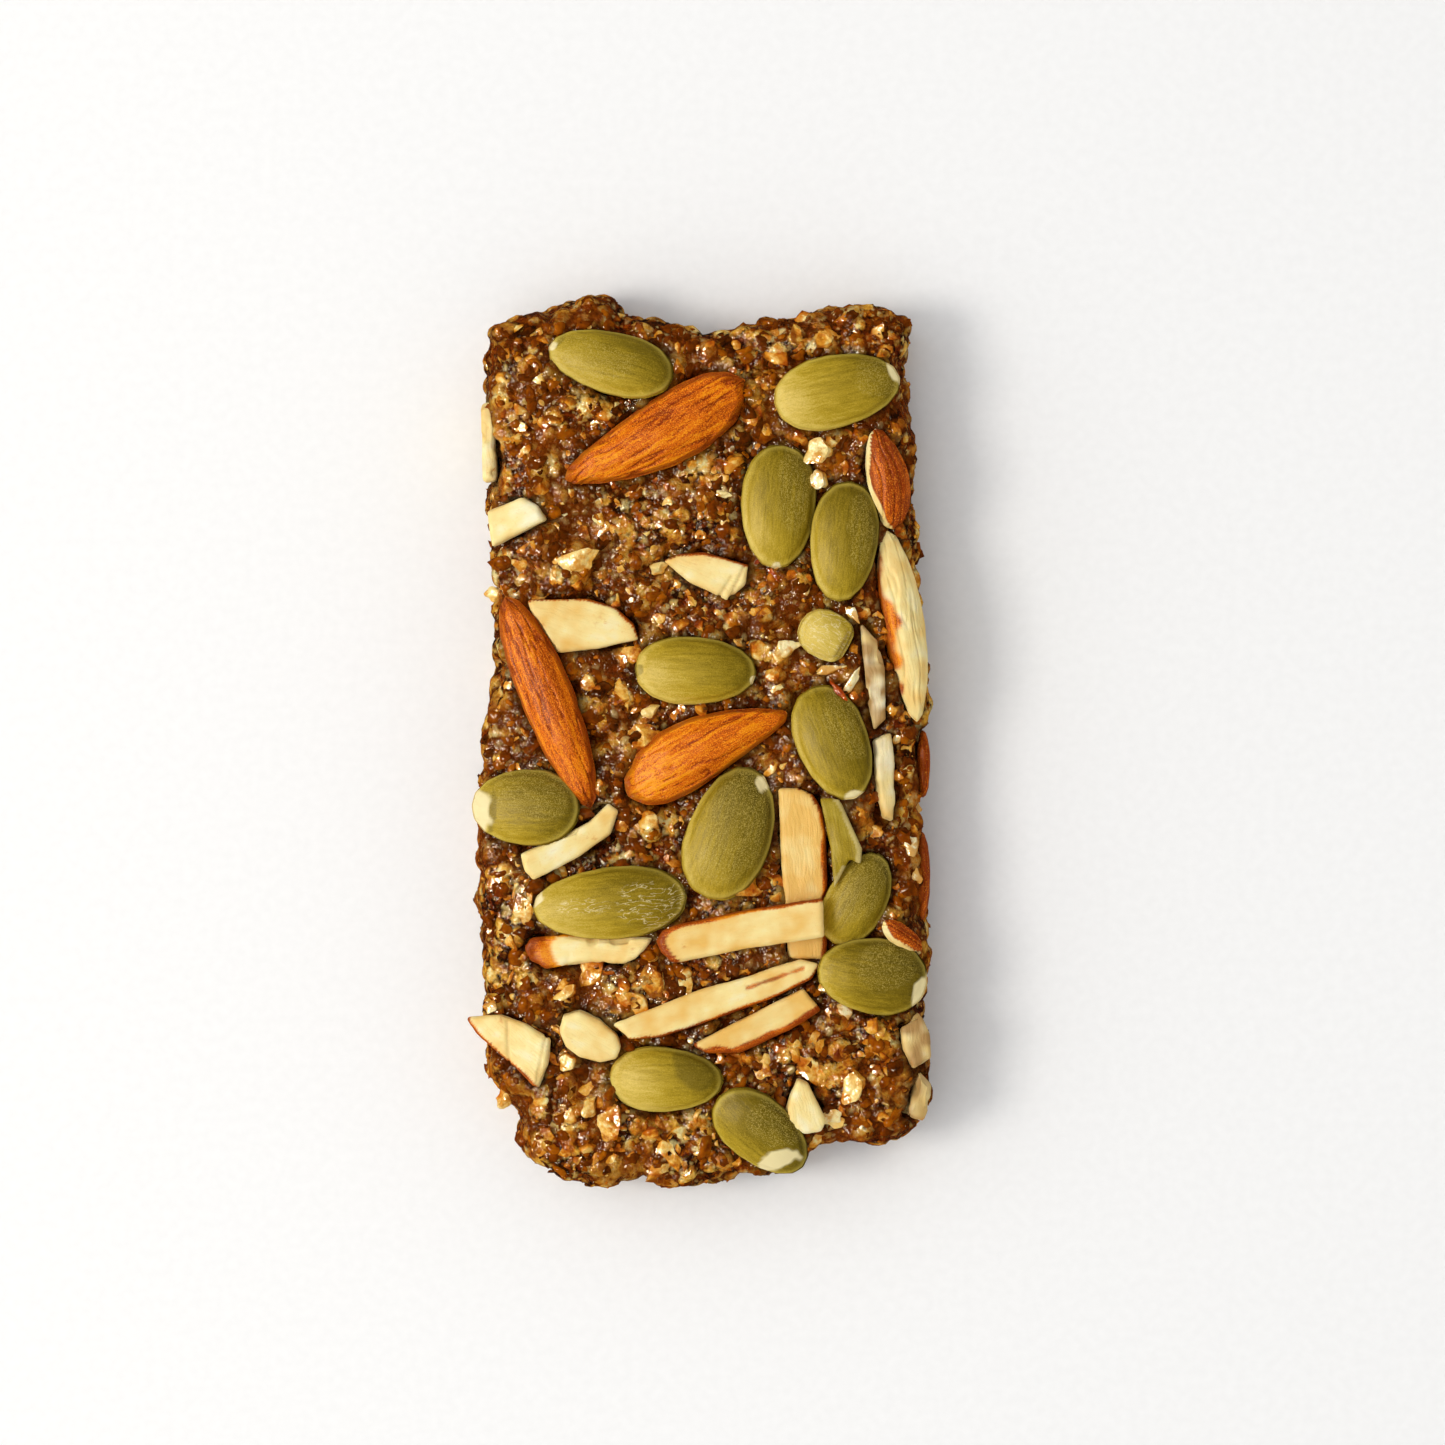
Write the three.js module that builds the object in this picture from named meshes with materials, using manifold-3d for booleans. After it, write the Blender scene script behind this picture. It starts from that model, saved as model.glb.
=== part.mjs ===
// A flat-pressed granola bar: a sticky slab of flakes and granules with whole pumpkin
// seeds, half almonds, almond slivers and chips pressed into its top and its long sides.
//
// Millimetres. +X runs across the bar, +Y along it, +Z up. The slab lies on z = 0 and the
// whole bar is centred on the origin.

import * as THREE from "three";
import { mergeVertices } from "three/addons/utils/BufferGeometryUtils.js";
import Module from "manifold-3d";

const wasm = await Module();
wasm.setup();

// ---------------------------------------------------------------- driving dimensions

const SLAB_THICKNESS = 11.6; // middle of the slab, between the toppings
const EDGE_DROP = 1.7; // how much lower the top lies along its edges
const EDGE_REACH = 7.5; // width of the band in which it drops
const SWELL = 0.55; // gentle rise and fall of the top
const SWELL_LENGTH = 17;

const CELLS_ACROSS = 21; // mesh cells of the top, across and along
const CELLS_ALONG = 42;
const CRAG = 1.7; // relief of the pressed granules, from pit to crest
const GRANULE = 4.2; // their spacing
const TOP_LEVEL = 0.62; // share of that relief that lies below the given top
const WALL_LEVEL = 0.85; // and inside the given outline

const GAP = 0.3; // clearance between neighbouring pieces
const FINEST = 0.08; // detail smaller than this is merged away after a cut
const FIRST_SEED = 7;

// The slab's four sides as seen from above. Each is a smooth curve through these points.
const NEAR_LEFT = [-20.7, -44.9];
const NEAR_RIGHT = [24.2, -43.4];
const FAR_LEFT = [-23.6, 46.4];
const FAR_RIGHT = [23.3, 47.2];
const NEAR_SIDE = [
  NEAR_LEFT, [-18.6, -47.4], [-13.4, -50.1], [-9.4, -49.8], [-7.5, -48.6], [-4.0, -50.2],
  [0.6, -49.7], [4.0, -48.9], [7.4, -49.2], [10.8, -48.0], [12.8, -45.5], [16.2, -44.5],
  [19.5, -45.6], [22.4, -44.9], NEAR_RIGHT,
];
const RIGHT_SIDE = [
  NEAR_RIGHT, [25.9, -39.0], [25.7, -34.5], [25.0, -30.5], [25.6, -22.0], [25.7, -16.5],
  [24.8, -9.8], [25.6, -1.0], [25.4, 8.0], [24.3, 18.0], [24.0, 28.0], [23.7, 37.0],
  [23.1, 43.6], FAR_RIGHT,
];
const FAR_SIDE = [
  FAR_LEFT, [-20.1, 47.9], [-15.6, 49.0], [-10.3, 50.2], [-8.5, 48.1], [-3.5, 47.2],
  [0.6, 46.0], [4.5, 46.9], [9.8, 47.8], [16.3, 48.9], [20.3, 49.4], FAR_RIGHT,
];
const LEFT_SIDE = [
  NEAR_LEFT, [-20.2, -41.4], [-22.3, -38.8], [-23.6, -35.5], [-23.9, -28.0], [-24.7, -21.0],
  [-24.7, -13.0], [-24.3, -2.0], [-23.3, 8.0], [-22.7, 15.0], [-23.5, 25.0], [-23.6, 34.0],
  [-23.9, 40.0], FAR_LEFT,
];

// The wall from the top's rim down to the flat underside: how far each ring lies inside
// the outline, and its height as a share of the rim's height.
const WALL = [
  { inset: 1.9, share: 1 },
  { inset: 0.7, share: 0.93 },
  { inset: 0.05, share: 0.76 },
  { inset: 0, share: 0.5 },
  { inset: 0.35, share: 0.2 },
  { inset: 1.3, share: 0 },
];

const SEED_THICK = 2.9;
const SEED_TAPER = 0.13; // how much a seed narrows from its middle to its tip
const PLAN_POWER = 2.25; // a seed's plan is this full: 2 is an ellipse

// Facets around and over a rounded topping, and those of the coarser form that presses a
// seed's pocket, which is swollen so that its facets clear the finer ones.
const FINE = { around: 16, over: 6, swell: 1 };
const POCKET = { around: 12, over: 4, swell: 1.05 };

// Whole pumpkin seeds. turn points from the round end to the tip, in degrees from +X; lift
// raises the middle above the slab's top; lean tips it about X and Y, in degrees.
const PUMPKIN_SEEDS = [
  { at: [-9.9, 42.5], long: 14.3, wide: 7.3, turn: 166, lift: 0.9 },
  { at: [15.4, 39.3], long: 14.4, wide: 8.2, turn: 12, lift: 0.8 },
  { at: [8.9, 26.4], long: 14.0, wide: 8.5, turn: -94, lift: 0.8 },
  { at: [16.2, 22.5], long: 13.6, wide: 7.8, turn: -96, lift: 1.0 },
  { at: [15.0, -0.1], long: 13.4, wide: 8.3, turn: -69, lift: 1.0 },
  { at: [-0.4, 8.0], long: 13.6, wide: 7.7, turn: -2, lift: 0.7 },
  { at: [-19.5, -7.3], long: 12.3, wide: 8.6, turn: 178, lift: 0.9 },
  { at: [-10.0, -18.0], long: 17.3, wide: 8.2, turn: 185, lift: 1.1 },
  { at: [3.4, -10.2], long: 15.4, wide: 9.6, turn: 71, lift: 1.0 },
  { at: [17.7, -17.6], long: 11.3, wide: 6.8, turn: 62, lift: 0.3 },
  { at: [19.4, -26.2], long: 12.6, wide: 8.7, turn: 172, lift: 1.2 },
  { at: [-3.7, -37.8], long: 12.9, wide: 7.4, turn: -1, lift: 0.8 },
  { at: [6.9, -43.7], long: 12.5, wide: 7.7, turn: -41, lift: 1.0, lean: [6, 0] },
];

// A bitten-off stump of a pumpkin seed.
const SEED_STUMP = { at: [14.7, 11.7], long: 7.6, wide: 5.6, turn: -28, lift: 1.5, cutAt: 2.3 };

// Half almonds with the brown skin up. bow bends the middle sideways; taper narrows the
// tip; high is the skin's crown above the cut face, deep what lies below it.
const ALMONDS = [
  { name: "almond_half_1", at: [-4.8, 34.7], long: 23.6, wide: 8.1, high: 2.9, deep: 1.3,
    turn: 209, bow: 1.0, taper: 0.38, lift: 0.4 },
  { name: "almond_half_2", at: [-16.9, 4.5], long: 25.8, wide: 6.1, high: 2.8, deep: 1.3,
    turn: -68, bow: 0.2, taper: 0.08, lift: 0.6 },
  { name: "almond_half_3", at: [0.8, -1.0], long: 20.8, wide: 7.9, high: 2.9, deep: 1.3,
    turn: 27, bow: 1.2, taper: 0.5, lift: 0.5 },
  { name: "almond_edge_1", at: [20.9, 29.5], long: 11.6, wide: 5.3, high: 2.0, deep: 1.2,
    turn: 102, bow: -0.4, taper: 0.15, lift: 0.5, lean: [0, 22] },
  { name: "almond_edge_2", at: [22.9, 13.0], long: 21.8, wide: 4.8, high: 1.9, deep: 2.2,
    turn: -80, bow: 0.4, taper: 0.1, lift: 0.2, lean: [0, 24] },
  { name: "almond_edge_3", at: [22.7, -21.9], long: 6.2, wide: 2.9, high: 1.2, deep: 0.9,
    turn: 141, bow: 0, taper: 0.1, lift: 1.4, lean: [0, 10] },
];

// Almonds caught edge-on in the right-hand side wall: middle, length, height and depth.
const WALL_ALMONDS = [
  { name: "almond_wall_1", at: [25.2, -2.5, 7.4], long: 7.6, tall: 4.2, deep: 1.7 },
  { name: "almond_wall_2", at: [25.0, -15.2, 6.9], long: 10.4, tall: 5.2, deep: 2.1 },
];

// Slivers and chips of almond: flat cut pieces, each given by its outline seen from above.
// lift is the height of the piece's middle above the slab's top.
const SLIVERS = [
  { name: "sliver_cross", thick: 2.3, lift: 2.6, level: true,
    outline: [[-4.7, -22.2], [-4.0, -21.1], [-2.6, -20.5], [5.5, -18.8], [13.7, -17.5],
      [13.9, -21.7], [5.2, -23.0], [-2.9, -24.6], [-4.2, -23.5]] },
  { name: "sliver_slab", thick: 2.1, lift: 0.1,
    outline: [[8.9, -5.2], [11.0, -5.2], [12.7, -5.9], [13.7, -7.6], [14.1, -10.2],
      [14.3, -16.0], [14.2, -24.3], [10.0, -24.2], [9.3, -14.5]] },
  { name: "sliver_blade", thick: 2.0, lift: 1.0,
    outline: [[-9.6, -31.6], [-5.0, -29.8], [0.1, -27.8], [5.8, -26.2], [8.2, -25.3],
      [11.3, -24.4], [13.4, -24.9], [12.5, -26.5], [7.9, -28.7], [0.1, -31.5],
      [-4.2, -32.9], [-7.8, -33.2]] },
  { name: "sliver_low", thick: 2.0, lift: 0.7,
    outline: [[-0.7, -33.9], [2.3, -32.3], [6.8, -30.1], [11.6, -27.6], [13.5, -30.0],
      [10.1, -32.2], [4.5, -34.7], [0.8, -34.8]] },
  { name: "sliver_round", thick: 2.0, lift: 0.3,
    outline: [[-19.2, 15.9], [-12.5, 16.0], [-9.3, 15.0], [-7.4, 13.2], [-6.9, 11.5],
      [-11.1, 10.6], [-17.2, 9.9]] },
  { name: "sliver_stick", thick: 2.4, lift: 0.9,
    outline: [[-19.9, -12.6], [-15.6, -10.7], [-12.2, -8.9], [-10.2, -6.9], [-9.1, -7.7],
      [-10.0, -10.3], [-13.4, -12.7], [-18.6, -15.4], [-19.5, -14.4]] },
  { name: "sliver_under", thick: 1.9, lift: -0.1,
    outline: [[-19.7, -22.7], [-18.7, -22.0], [-12.7, -21.3], [-5.3, -22.0], [-6.7, -24.0],
      [-8.4, -24.8], [-12.0, -24.6], [-17.2, -25.4], [-19.0, -24.5]] },
  { name: "sliver_corner", thick: 2.4, lift: 0.5,
    outline: [[-23.7, 25.8], [-19.7, 27.4], [-18.0, 26.5], [-17.2, 24.9], [-23.1, 21.9]] },
  { name: "sliver_wedge", thick: 1.8, lift: 0.8,
    outline: [[-3.9, 20.3], [-2.2, 21.0], [0.6, 21.2], [5.4, 19.8], [5.1, 17.7],
      [3.1, 15.9], [-1.1, 18.0]] },
  { name: "sliver_pale", thick: 1.7, lift: 0.8,
    outline: [[18.1, 13.2], [19.9, 11.3], [20.7, 8.3], [20.8, 2.6], [19.6, 1.4],
      [18.8, 4.8], [18.4, 9.8]] },
  { name: "sliver_narrow", thick: 1.8, lift: 0.6,
    outline: [[19.5, 0.2], [21.3, 1.0], [21.8, -3.0], [21.7, -8.9], [20.6, -8.5],
      [19.9, -5.8]] },
  { name: "chip_overhang", thick: 2.4, lift: 0.9,
    outline: [[-26.0, -30.9], [-22.3, -30.6], [-19.5, -31.6], [-16.7, -33.3],
      [-17.0, -36.1], [-18.1, -38.8], [-20.1, -36.7], [-22.9, -34.4], [-24.9, -32.6]] },
  { name: "chip_nugget", thick: 3.1, lift: 1.1,
    outline: [[-15.6, -32.2], [-15.2, -30.6], [-13.4, -30.1], [-11.2, -31.1],
      [-9.3, -32.8], [-8.8, -34.1], [-9.3, -35.3], [-11.1, -35.7], [-13.4, -35.1],
      [-14.9, -33.9]] },
  { name: "chip_small", thick: 2.4, lift: 0.9,
    outline: [[11.0, -37.7], [12.1, -38.2], [12.9, -39.8], [14.1, -42.3], [13.6, -43.5],
      [11.8, -43.7], [10.0, -43.0], [9.7, -41.4], [10.2, -39.5]] },
  { name: "chip_edge_1", thick: 2.2, lift: 0.6,
    outline: [[22.6, -32.0], [24.6, -30.4], [25.7, -32.8], [25.9, -35.4], [23.9, -36.6],
      [22.8, -34.4]] },
  { name: "chip_edge_2", thick: 3.4, lift: -0.6,
    outline: [[24.4, -36.9], [25.9, -38.4], [25.6, -41.2], [24.9, -42.3], [22.8, -41.8],
      [23.6, -40.6], [24.2, -38.9]] },
  { name: "sliver_wall", thick: 6.4, lift: -3.6, level: true,
    outline: [[-24.6, 38.1], [-23.1, 38.4], [-22.9, 29.5], [-24.3, 29.3]] },
  { name: "seed_skin", thick: 0.9, lift: 1.5,
    outline: [[13.5, -6.3], [15.6, -6.2], [16.9, -9.0], [18.2, -11.9], [18.1, -13.7],
      [16.8, -13.1], [15.1, -16.4], [14.7, -12.0]] },
];

// Thin torn flakes and broad grains that are stuck fast to the slab.
const STUCK_FLAKES = [
  { at: [-13.7, 20.4], size: [5.2, 4.4, 1.3], turn: 35 },
  { at: [-14.8, -28.1], size: [1.7, 4.6, 1.4], turn: 0 },
  { at: [17.2, -38.4], size: [2.2, 4.7, 1.5], turn: 12 },
  { at: [9.6, 10.5], size: [4.4, 1.9, 1.0], turn: -8 },
  { at: [14.4, 8.5], size: [4.4, 1.0, 1.0], turn: 10 },
  { at: [-23.2, -29.6], size: [2.2, 1.8, 1.6], turn: 20 },
  { at: [13.5, 29.7], size: [2.6, 2.3, 1.5], turn: 0 },
  { at: [-5.3, -9.8], size: [3.0, 2.8, 1.8], turn: 0 },
  { at: [14.4, 32.5], size: [3.0, 2.4, 1.5], turn: 40 },
  { at: [18.0, -31.1], size: [2.6, 1.8, 1.2], turn: -30 },
  { at: [7.3, -39.1], size: [2.4, 2.0, 1.4], turn: 15 },
  { at: [3.0, 47.0], size: [4.0, 3.0, 2.2], turn: 25 },
];
const LOOSE_GRANULES = 36; // further fused granules, spread over the top and the walls
const GRANULE_SIZES = [1.7, 3.0];

// ---------------------------------------------------------------- seeded noise

function seededRandom(seed) {
  let state = seed >>> 0;
  return () => {
    state = (state + 0x6d2b79f5) >>> 0;
    let t = state;
    t = Math.imul(t ^ (t >>> 15), t | 1);
    t ^= t + Math.imul(t ^ (t >>> 7), t | 61);
    return ((t ^ (t >>> 14)) >>> 0) / 4294967296;
  };
}

function latticeValue(i, j, k, salt) {
  const mixed = Math.imul(i, 374761393) + Math.imul(j, 668265263)
    + Math.imul(k, 2147483647) + Math.imul(salt, 1274126177);
  return seededRandom(mixed)();
}

// Round granules: 1 on the crest of the nearest one, falling to 0 between them.
function granuleHeight(point, spacing) {
  const home = [point.x, point.y, point.z].map((value) => Math.floor(value / spacing));
  let nearest = Infinity;
  for (let i = home[0] - 1; i <= home[0] + 1; i += 1) {
    for (let j = home[1] - 1; j <= home[1] + 1; j += 1) {
      for (let k = home[2] - 1; k <= home[2] + 1; k += 1) {
        const seat = new THREE.Vector3(
          (i + latticeValue(i, j, k, 1)) * spacing,
          (j + latticeValue(i, j, k, 2)) * spacing,
          (k + latticeValue(i, j, k, 3)) * spacing,
        );
        nearest = Math.min(nearest, seat.distanceTo(point));
      }
    }
  }
  return Math.sqrt(Math.max(0, 1 - (nearest / (0.85 * spacing)) ** 2));
}

// ---------------------------------------------------------------- solids

function toSolid(geometry) {
  const bare = geometry.clone();
  bare.deleteAttribute("normal");
  bare.deleteAttribute("uv");
  const merged = mergeVertices(bare, 1e-5);
  return new wasm.Manifold(new wasm.Mesh({
    numProp: 3,
    vertProperties: new Float32Array(merged.attributes.position.array),
    triVerts: new Uint32Array(merged.index.array),
  }));
}

// The largest single body of a solid, as a geometry.
function toGeometry(solid) {
  const bodies = solid.decompose();
  bodies.sort((a, b) => b.volume() - a.volume());
  const mesh = bodies[0].simplify(FINEST).getMesh();
  const geometry = new THREE.BufferGeometry();
  geometry.setAttribute("position", new THREE.BufferAttribute(mesh.vertProperties, 3));
  geometry.setIndex(new THREE.BufferAttribute(mesh.triVerts, 1));
  geometry.computeVertexNormals();
  return geometry;
}

// The same closed shape with every face moved out by a distance.
function inflated(geometry, distance) {
  const bare = geometry.clone();
  bare.deleteAttribute("normal");
  bare.deleteAttribute("uv");
  const merged = mergeVertices(bare, 1e-5);
  merged.computeVertexNormals();
  const place = merged.attributes.position;
  const normal = merged.attributes.normal;
  const index = merged.index.array;
  const flattest = new Float32Array(place.count).fill(1);
  const corners = [new THREE.Vector3(), new THREE.Vector3(), new THREE.Vector3()];
  const face = new THREE.Triangle();
  const faceNormal = new THREE.Vector3();
  const pointNormal = new THREE.Vector3();
  for (let start = 0; start < index.length; start += 3) {
    corners.forEach((corner, turn) => corner.fromBufferAttribute(place, index[start + turn]));
    face.set(...corners);
    face.getNormal(faceNormal);
    for (let turn = 0; turn < 3; turn += 1) {
      const vertex = index[start + turn];
      pointNormal.fromBufferAttribute(normal, vertex);
      flattest[vertex] = Math.min(flattest[vertex], pointNormal.dot(faceNormal));
    }
  }
  for (let vertex = 0; vertex < place.count; vertex += 1) {
    const step = distance / Math.max(flattest[vertex], 0.5);
    place.setXYZ(
      vertex,
      place.getX(vertex) + normal.getX(vertex) * step,
      place.getY(vertex) + normal.getY(vertex) * step,
      place.getZ(vertex) + normal.getZ(vertex) * step,
    );
  }
  return merged;
}

// ---------------------------------------------------------------- the slab

function sidePoints(points, cells) {
  const curve = new THREE.CatmullRomCurve3(points.map(([x, y]) => new THREE.Vector3(x, y, 0)));
  return curve.getSpacedPoints(cells);
}

const sides = {
  near: sidePoints(NEAR_SIDE, CELLS_ACROSS),
  right: sidePoints(RIGHT_SIDE, CELLS_ALONG),
  far: sidePoints(FAR_SIDE, CELLS_ACROSS),
  left: sidePoints(LEFT_SIDE, CELLS_ALONG),
};

// The outline, once round, anticlockwise from the near left corner.
const outline = [
  ...sides.near.slice(0, -1),
  ...sides.right.slice(0, -1),
  ...sides.far.toReversed().slice(0, -1),
  ...sides.left.toReversed().slice(0, -1),
];

const outward = outline.map((point, index) => {
  const before = outline.at(index - 2);
  const after = outline[(index + 2) % outline.length];
  const along = new THREE.Vector3().subVectors(after, before).normalize();
  return new THREE.Vector3(along.y, -along.x, 0);
});

function distanceToEdge(x, y) {
  let nearest = Infinity;
  for (const point of outline) {
    nearest = Math.min(nearest, Math.hypot(point.x - x, point.y - y));
  }
  return nearest;
}

// Height of the slab's top before its granules: level in the middle, rolling off at the
// edges, with a gentle swell.
function topHeight(x, y) {
  const nearness = Math.max(0, 1 - distanceToEdge(x, y) / EDGE_REACH);
  const turnsX = (2 * Math.PI * x) / SWELL_LENGTH;
  const turnsY = (2 * Math.PI * y) / SWELL_LENGTH;
  const swell = Math.sin(0.71 * turnsX + 1.3) * Math.sin(0.83 * turnsY - 0.4)
    + 0.6 * Math.sin(0.37 * turnsX + 0.61 * turnsY + 2.1);
  return SLAB_THICKNESS - EDGE_DROP * nearness ** 2 + (SWELL * swell) / 1.6;
}

function slabGeometry() {
  const columns = CELLS_ACROSS + 1;
  const rows = CELLS_ALONG + 1;
  const points = [];
  const faces = [];
  const quad = (a, b, c, d) => faces.push(a, b, c, a, c, d);
  const addPoint = (point, direction, relief, level) => {
    const crest = granuleHeight(point, GRANULE) - level;
    points.push(point.clone().addScaledVector(direction, crest * relief));
    return points.length - 1;
  };

  // The rim of the top, as an index from the outline's loop to grid cells.
  const rim = outline.map((point, index) => (
    point.clone().addScaledVector(outward[index], -WALL[0].inset)
  ));
  const nearRim = rim.slice(0, columns);
  const rightRim = rim.slice(CELLS_ACROSS, CELLS_ACROSS + rows);
  const farRim = rim.slice(CELLS_ACROSS + CELLS_ALONG, 2 * CELLS_ACROSS + CELLS_ALONG + 1)
    .reverse();
  const leftRim = [...rim.slice(2 * CELLS_ACROSS + CELLS_ALONG), rim[0]].reverse();

  // The top: each grid point is blended from the four rims.
  const up = new THREE.Vector3(0, 0, 1);
  const grid = [];
  for (let row = 0; row < rows; row += 1) {
    for (let column = 0; column < columns; column += 1) {
      const u = column / CELLS_ACROSS;
      const v = row / CELLS_ALONG;
      const point = new THREE.Vector3()
        .addScaledVector(nearRim[column], 1 - v)
        .addScaledVector(farRim[column], v)
        .addScaledVector(leftRim[row], 1 - u)
        .addScaledVector(rightRim[row], u)
        .addScaledVector(nearRim[0], -(1 - u) * (1 - v))
        .addScaledVector(nearRim[CELLS_ACROSS], -u * (1 - v))
        .addScaledVector(farRim[0], -(1 - u) * v)
        .addScaledVector(farRim[CELLS_ACROSS], -u * v);
      point.z = topHeight(point.x, point.y);
      grid.push(addPoint(point, up, CRAG, TOP_LEVEL));
    }
  }
  const cell = (column, row) => grid[row * columns + column];
  for (let row = 0; row < CELLS_ALONG; row += 1) {
    for (let column = 0; column < CELLS_ACROSS; column += 1) {
      quad(cell(column, row), cell(column + 1, row), cell(column + 1, row + 1), cell(column, row + 1));
    }
  }

  // The wall, ring by ring down from the rim.
  let upper = [];
  for (let column = 0; column < CELLS_ACROSS; column += 1) upper.push(cell(column, 0));
  for (let row = 0; row < CELLS_ALONG; row += 1) upper.push(cell(CELLS_ACROSS, row));
  for (let column = CELLS_ACROSS; column > 0; column -= 1) upper.push(cell(column, CELLS_ALONG));
  for (let row = CELLS_ALONG; row > 0; row -= 1) upper.push(cell(0, row));
  for (let ring = 1; ring < WALL.length; ring += 1) {
    const { inset, share } = WALL[ring];
    const lower = outline.map((point, index) => {
      const spot = point.clone().addScaledVector(outward[index], -inset);
      spot.z = share * topHeight(rim[index].x, rim[index].y);
      const direction = outward[index].clone();
      if (ring < 3) direction.z = share ** 2;
      return addPoint(spot, direction.normalize(), share > 0 ? CRAG : CRAG / 2, WALL_LEVEL);
    });
    for (let index = 0; index < outline.length; index += 1) {
      const next = (index + 1) % outline.length;
      quad(lower[index], lower[next], upper[next], upper[index]);
    }
    upper = lower;
  }

  // The flat underside closes the last ring.
  const base = upper.map((vertex) => new THREE.Vector2(points[vertex].x, points[vertex].y));
  for (const [a, b, c] of THREE.ShapeUtils.triangulateShape(base, [])) {
    faces.push(upper[a], upper[c], upper[b]);
  }

  const geometry = new THREE.BufferGeometry();
  geometry.setAttribute("position", new THREE.Float32BufferAttribute(
    points.flatMap((point) => point.toArray()), 3));
  geometry.setIndex(faces);
  return geometry;
}

// ---------------------------------------------------------------- toppings

// Tilt that follows the slab's top over a piece's own reach.
function restTilt(x, y, reach) {
  const acrossSlope = (topHeight(x + reach, y) - topHeight(x - reach, y)) / (2 * reach);
  const alongSlope = (topHeight(x, y + reach) - topHeight(x, y - reach)) / (2 * reach);
  return { x: Math.atan(alongSlope), y: -Math.atan(acrossSlope) };
}

// Lays a topping on the slab: turned about Z first, then leaned about Y and X.
function lay(geometry, { at, turn = 0, lift = 0, lean = [0, 0], reach = 3, level = false }) {
  const tilt = level ? { x: 0, y: 0 } : restTilt(at[0], at[1], reach);
  const spin = new THREE.Matrix4().makeRotationFromEuler(new THREE.Euler(
    tilt.x + THREE.MathUtils.degToRad(lean[0]),
    tilt.y + THREE.MathUtils.degToRad(lean[1]),
    THREE.MathUtils.degToRad(turn),
  ));
  geometry.applyMatrix4(spin);
  geometry.translate(at[0], at[1], topHeight(at[0], at[1]) + lift);
  return geometry;
}

// A unit ball with its poles up and down.
function ball({ around, over, swell }) {
  return new THREE.SphereGeometry(swell, around, over).rotateX(Math.PI / 2);
}

// Half widths of a tapered oval at along = -1 .. 1, as a share of its widest.
function taperedWidth(taper) {
  const widthAt = (along) => Math.sqrt(1 - along * along) * (1 - taper * along);
  let widest = 0;
  for (let along = -1; along <= 1; along += 0.01) widest = Math.max(widest, widthAt(along));
  return (along) => (1 - taper * along) / widest;
}

// Fullness of an oval's plan: 1 at its ends and sides, more towards its corners.
function fullness(along, across) {
  const reach = Math.hypot(along, across);
  if (reach === 0) return 1;
  const power = PLAN_POWER;
  return (Math.abs(along / reach) ** power + Math.abs(across / reach) ** power) ** (-1 / power);
}

// A flat oval seed with a narrow tip towards +X and a slim rounded rim.
function pumpkinSeed({ long, wide }, facets) {
  const geometry = ball(facets);
  const place = geometry.attributes.position;
  const widthOf = taperedWidth(SEED_TAPER);
  for (let vertex = 0; vertex < place.count; vertex += 1) {
    const full = fullness(place.getX(vertex), place.getY(vertex));
    const along = place.getX(vertex) * full;
    const across = place.getY(vertex) * full * widthOf(along);
    const height = place.getZ(vertex);
    const crown = Math.sign(height) * Math.abs(height) ** 0.85;
    place.setXYZ(vertex, (along * long) / 2, (across * wide) / 2, (crown * SEED_THICK) / 2);
  }
  return geometry;
}

// A half almond, skin up: broad round end at -X, long tapered tip at +X.
function halfAlmond({ long, wide, high, deep, bow, taper }, facets) {
  const geometry = ball(facets);
  const place = geometry.attributes.position;
  const widthOf = taperedWidth(taper);
  for (let vertex = 0; vertex < place.count; vertex += 1) {
    const along = place.getX(vertex);
    const across = place.getY(vertex) * widthOf(along);
    const height = place.getZ(vertex);
    const tipThin = 1 - 0.5 * taper * Math.max(0, along);
    place.setXYZ(
      vertex,
      (along * long) / 2,
      (across * wide) / 2 + bow * (0.5 - along * along),
      height > 0 ? height * high * tipThin : -deep * Math.abs(height) ** 0.5,
    );
  }
  return geometry;
}

// An oval nut half seen edge-on.
function wallAlmond({ long, tall, deep }, facets) {
  return ball(facets).scale(deep / 2, long / 2, tall / 2);
}

function middleOf(corners) {
  const sum = corners.reduce(([x, y], corner) => [x + corner[0], y + corner[1]], [0, 0]);
  return sum.map((value) => value / corners.length);
}

// A flat cut piece of the given outline, centred on its own middle. Its edges are eased,
// but the form that presses its pocket keeps them sharp.
function cutPiece({ outline: corners, thick }, facets) {
  const middle = middleOf(corners);
  const bevel = facets === FINE ? Math.min(0.3, thick / 4) : 0;
  const shape = new THREE.Shape(corners.map(([x, y]) => (
    new THREE.Vector2(x - middle[0], y - middle[1])
  )));
  const geometry = new THREE.ExtrudeGeometry(shape, {
    depth: thick - 2 * bevel,
    bevelEnabled: bevel > 0,
    bevelThickness: bevel,
    bevelSize: bevel,
    bevelOffset: -bevel,
    bevelSegments: 1,
  });
  return geometry.translate(0, 0, bevel - thick / 2);
}

// An uneven pebble of 20 faces.
function pebble(size, random) {
  const geometry = mergeVertices(new THREE.IcosahedronGeometry(0.5, 0).deleteAttribute("normal")
    .deleteAttribute("uv"));
  const place = geometry.attributes.position;
  for (let vertex = 0; vertex < place.count; vertex += 1) {
    const swell = 0.86 + 0.28 * random();
    place.setXYZ(
      vertex,
      place.getX(vertex) * size[0] * swell,
      place.getY(vertex) * size[1] * swell,
      place.getZ(vertex) * size[2] * swell,
    );
  }
  return geometry;
}

// ---------------------------------------------------------------- all pieces

const toppings = [];

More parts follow.
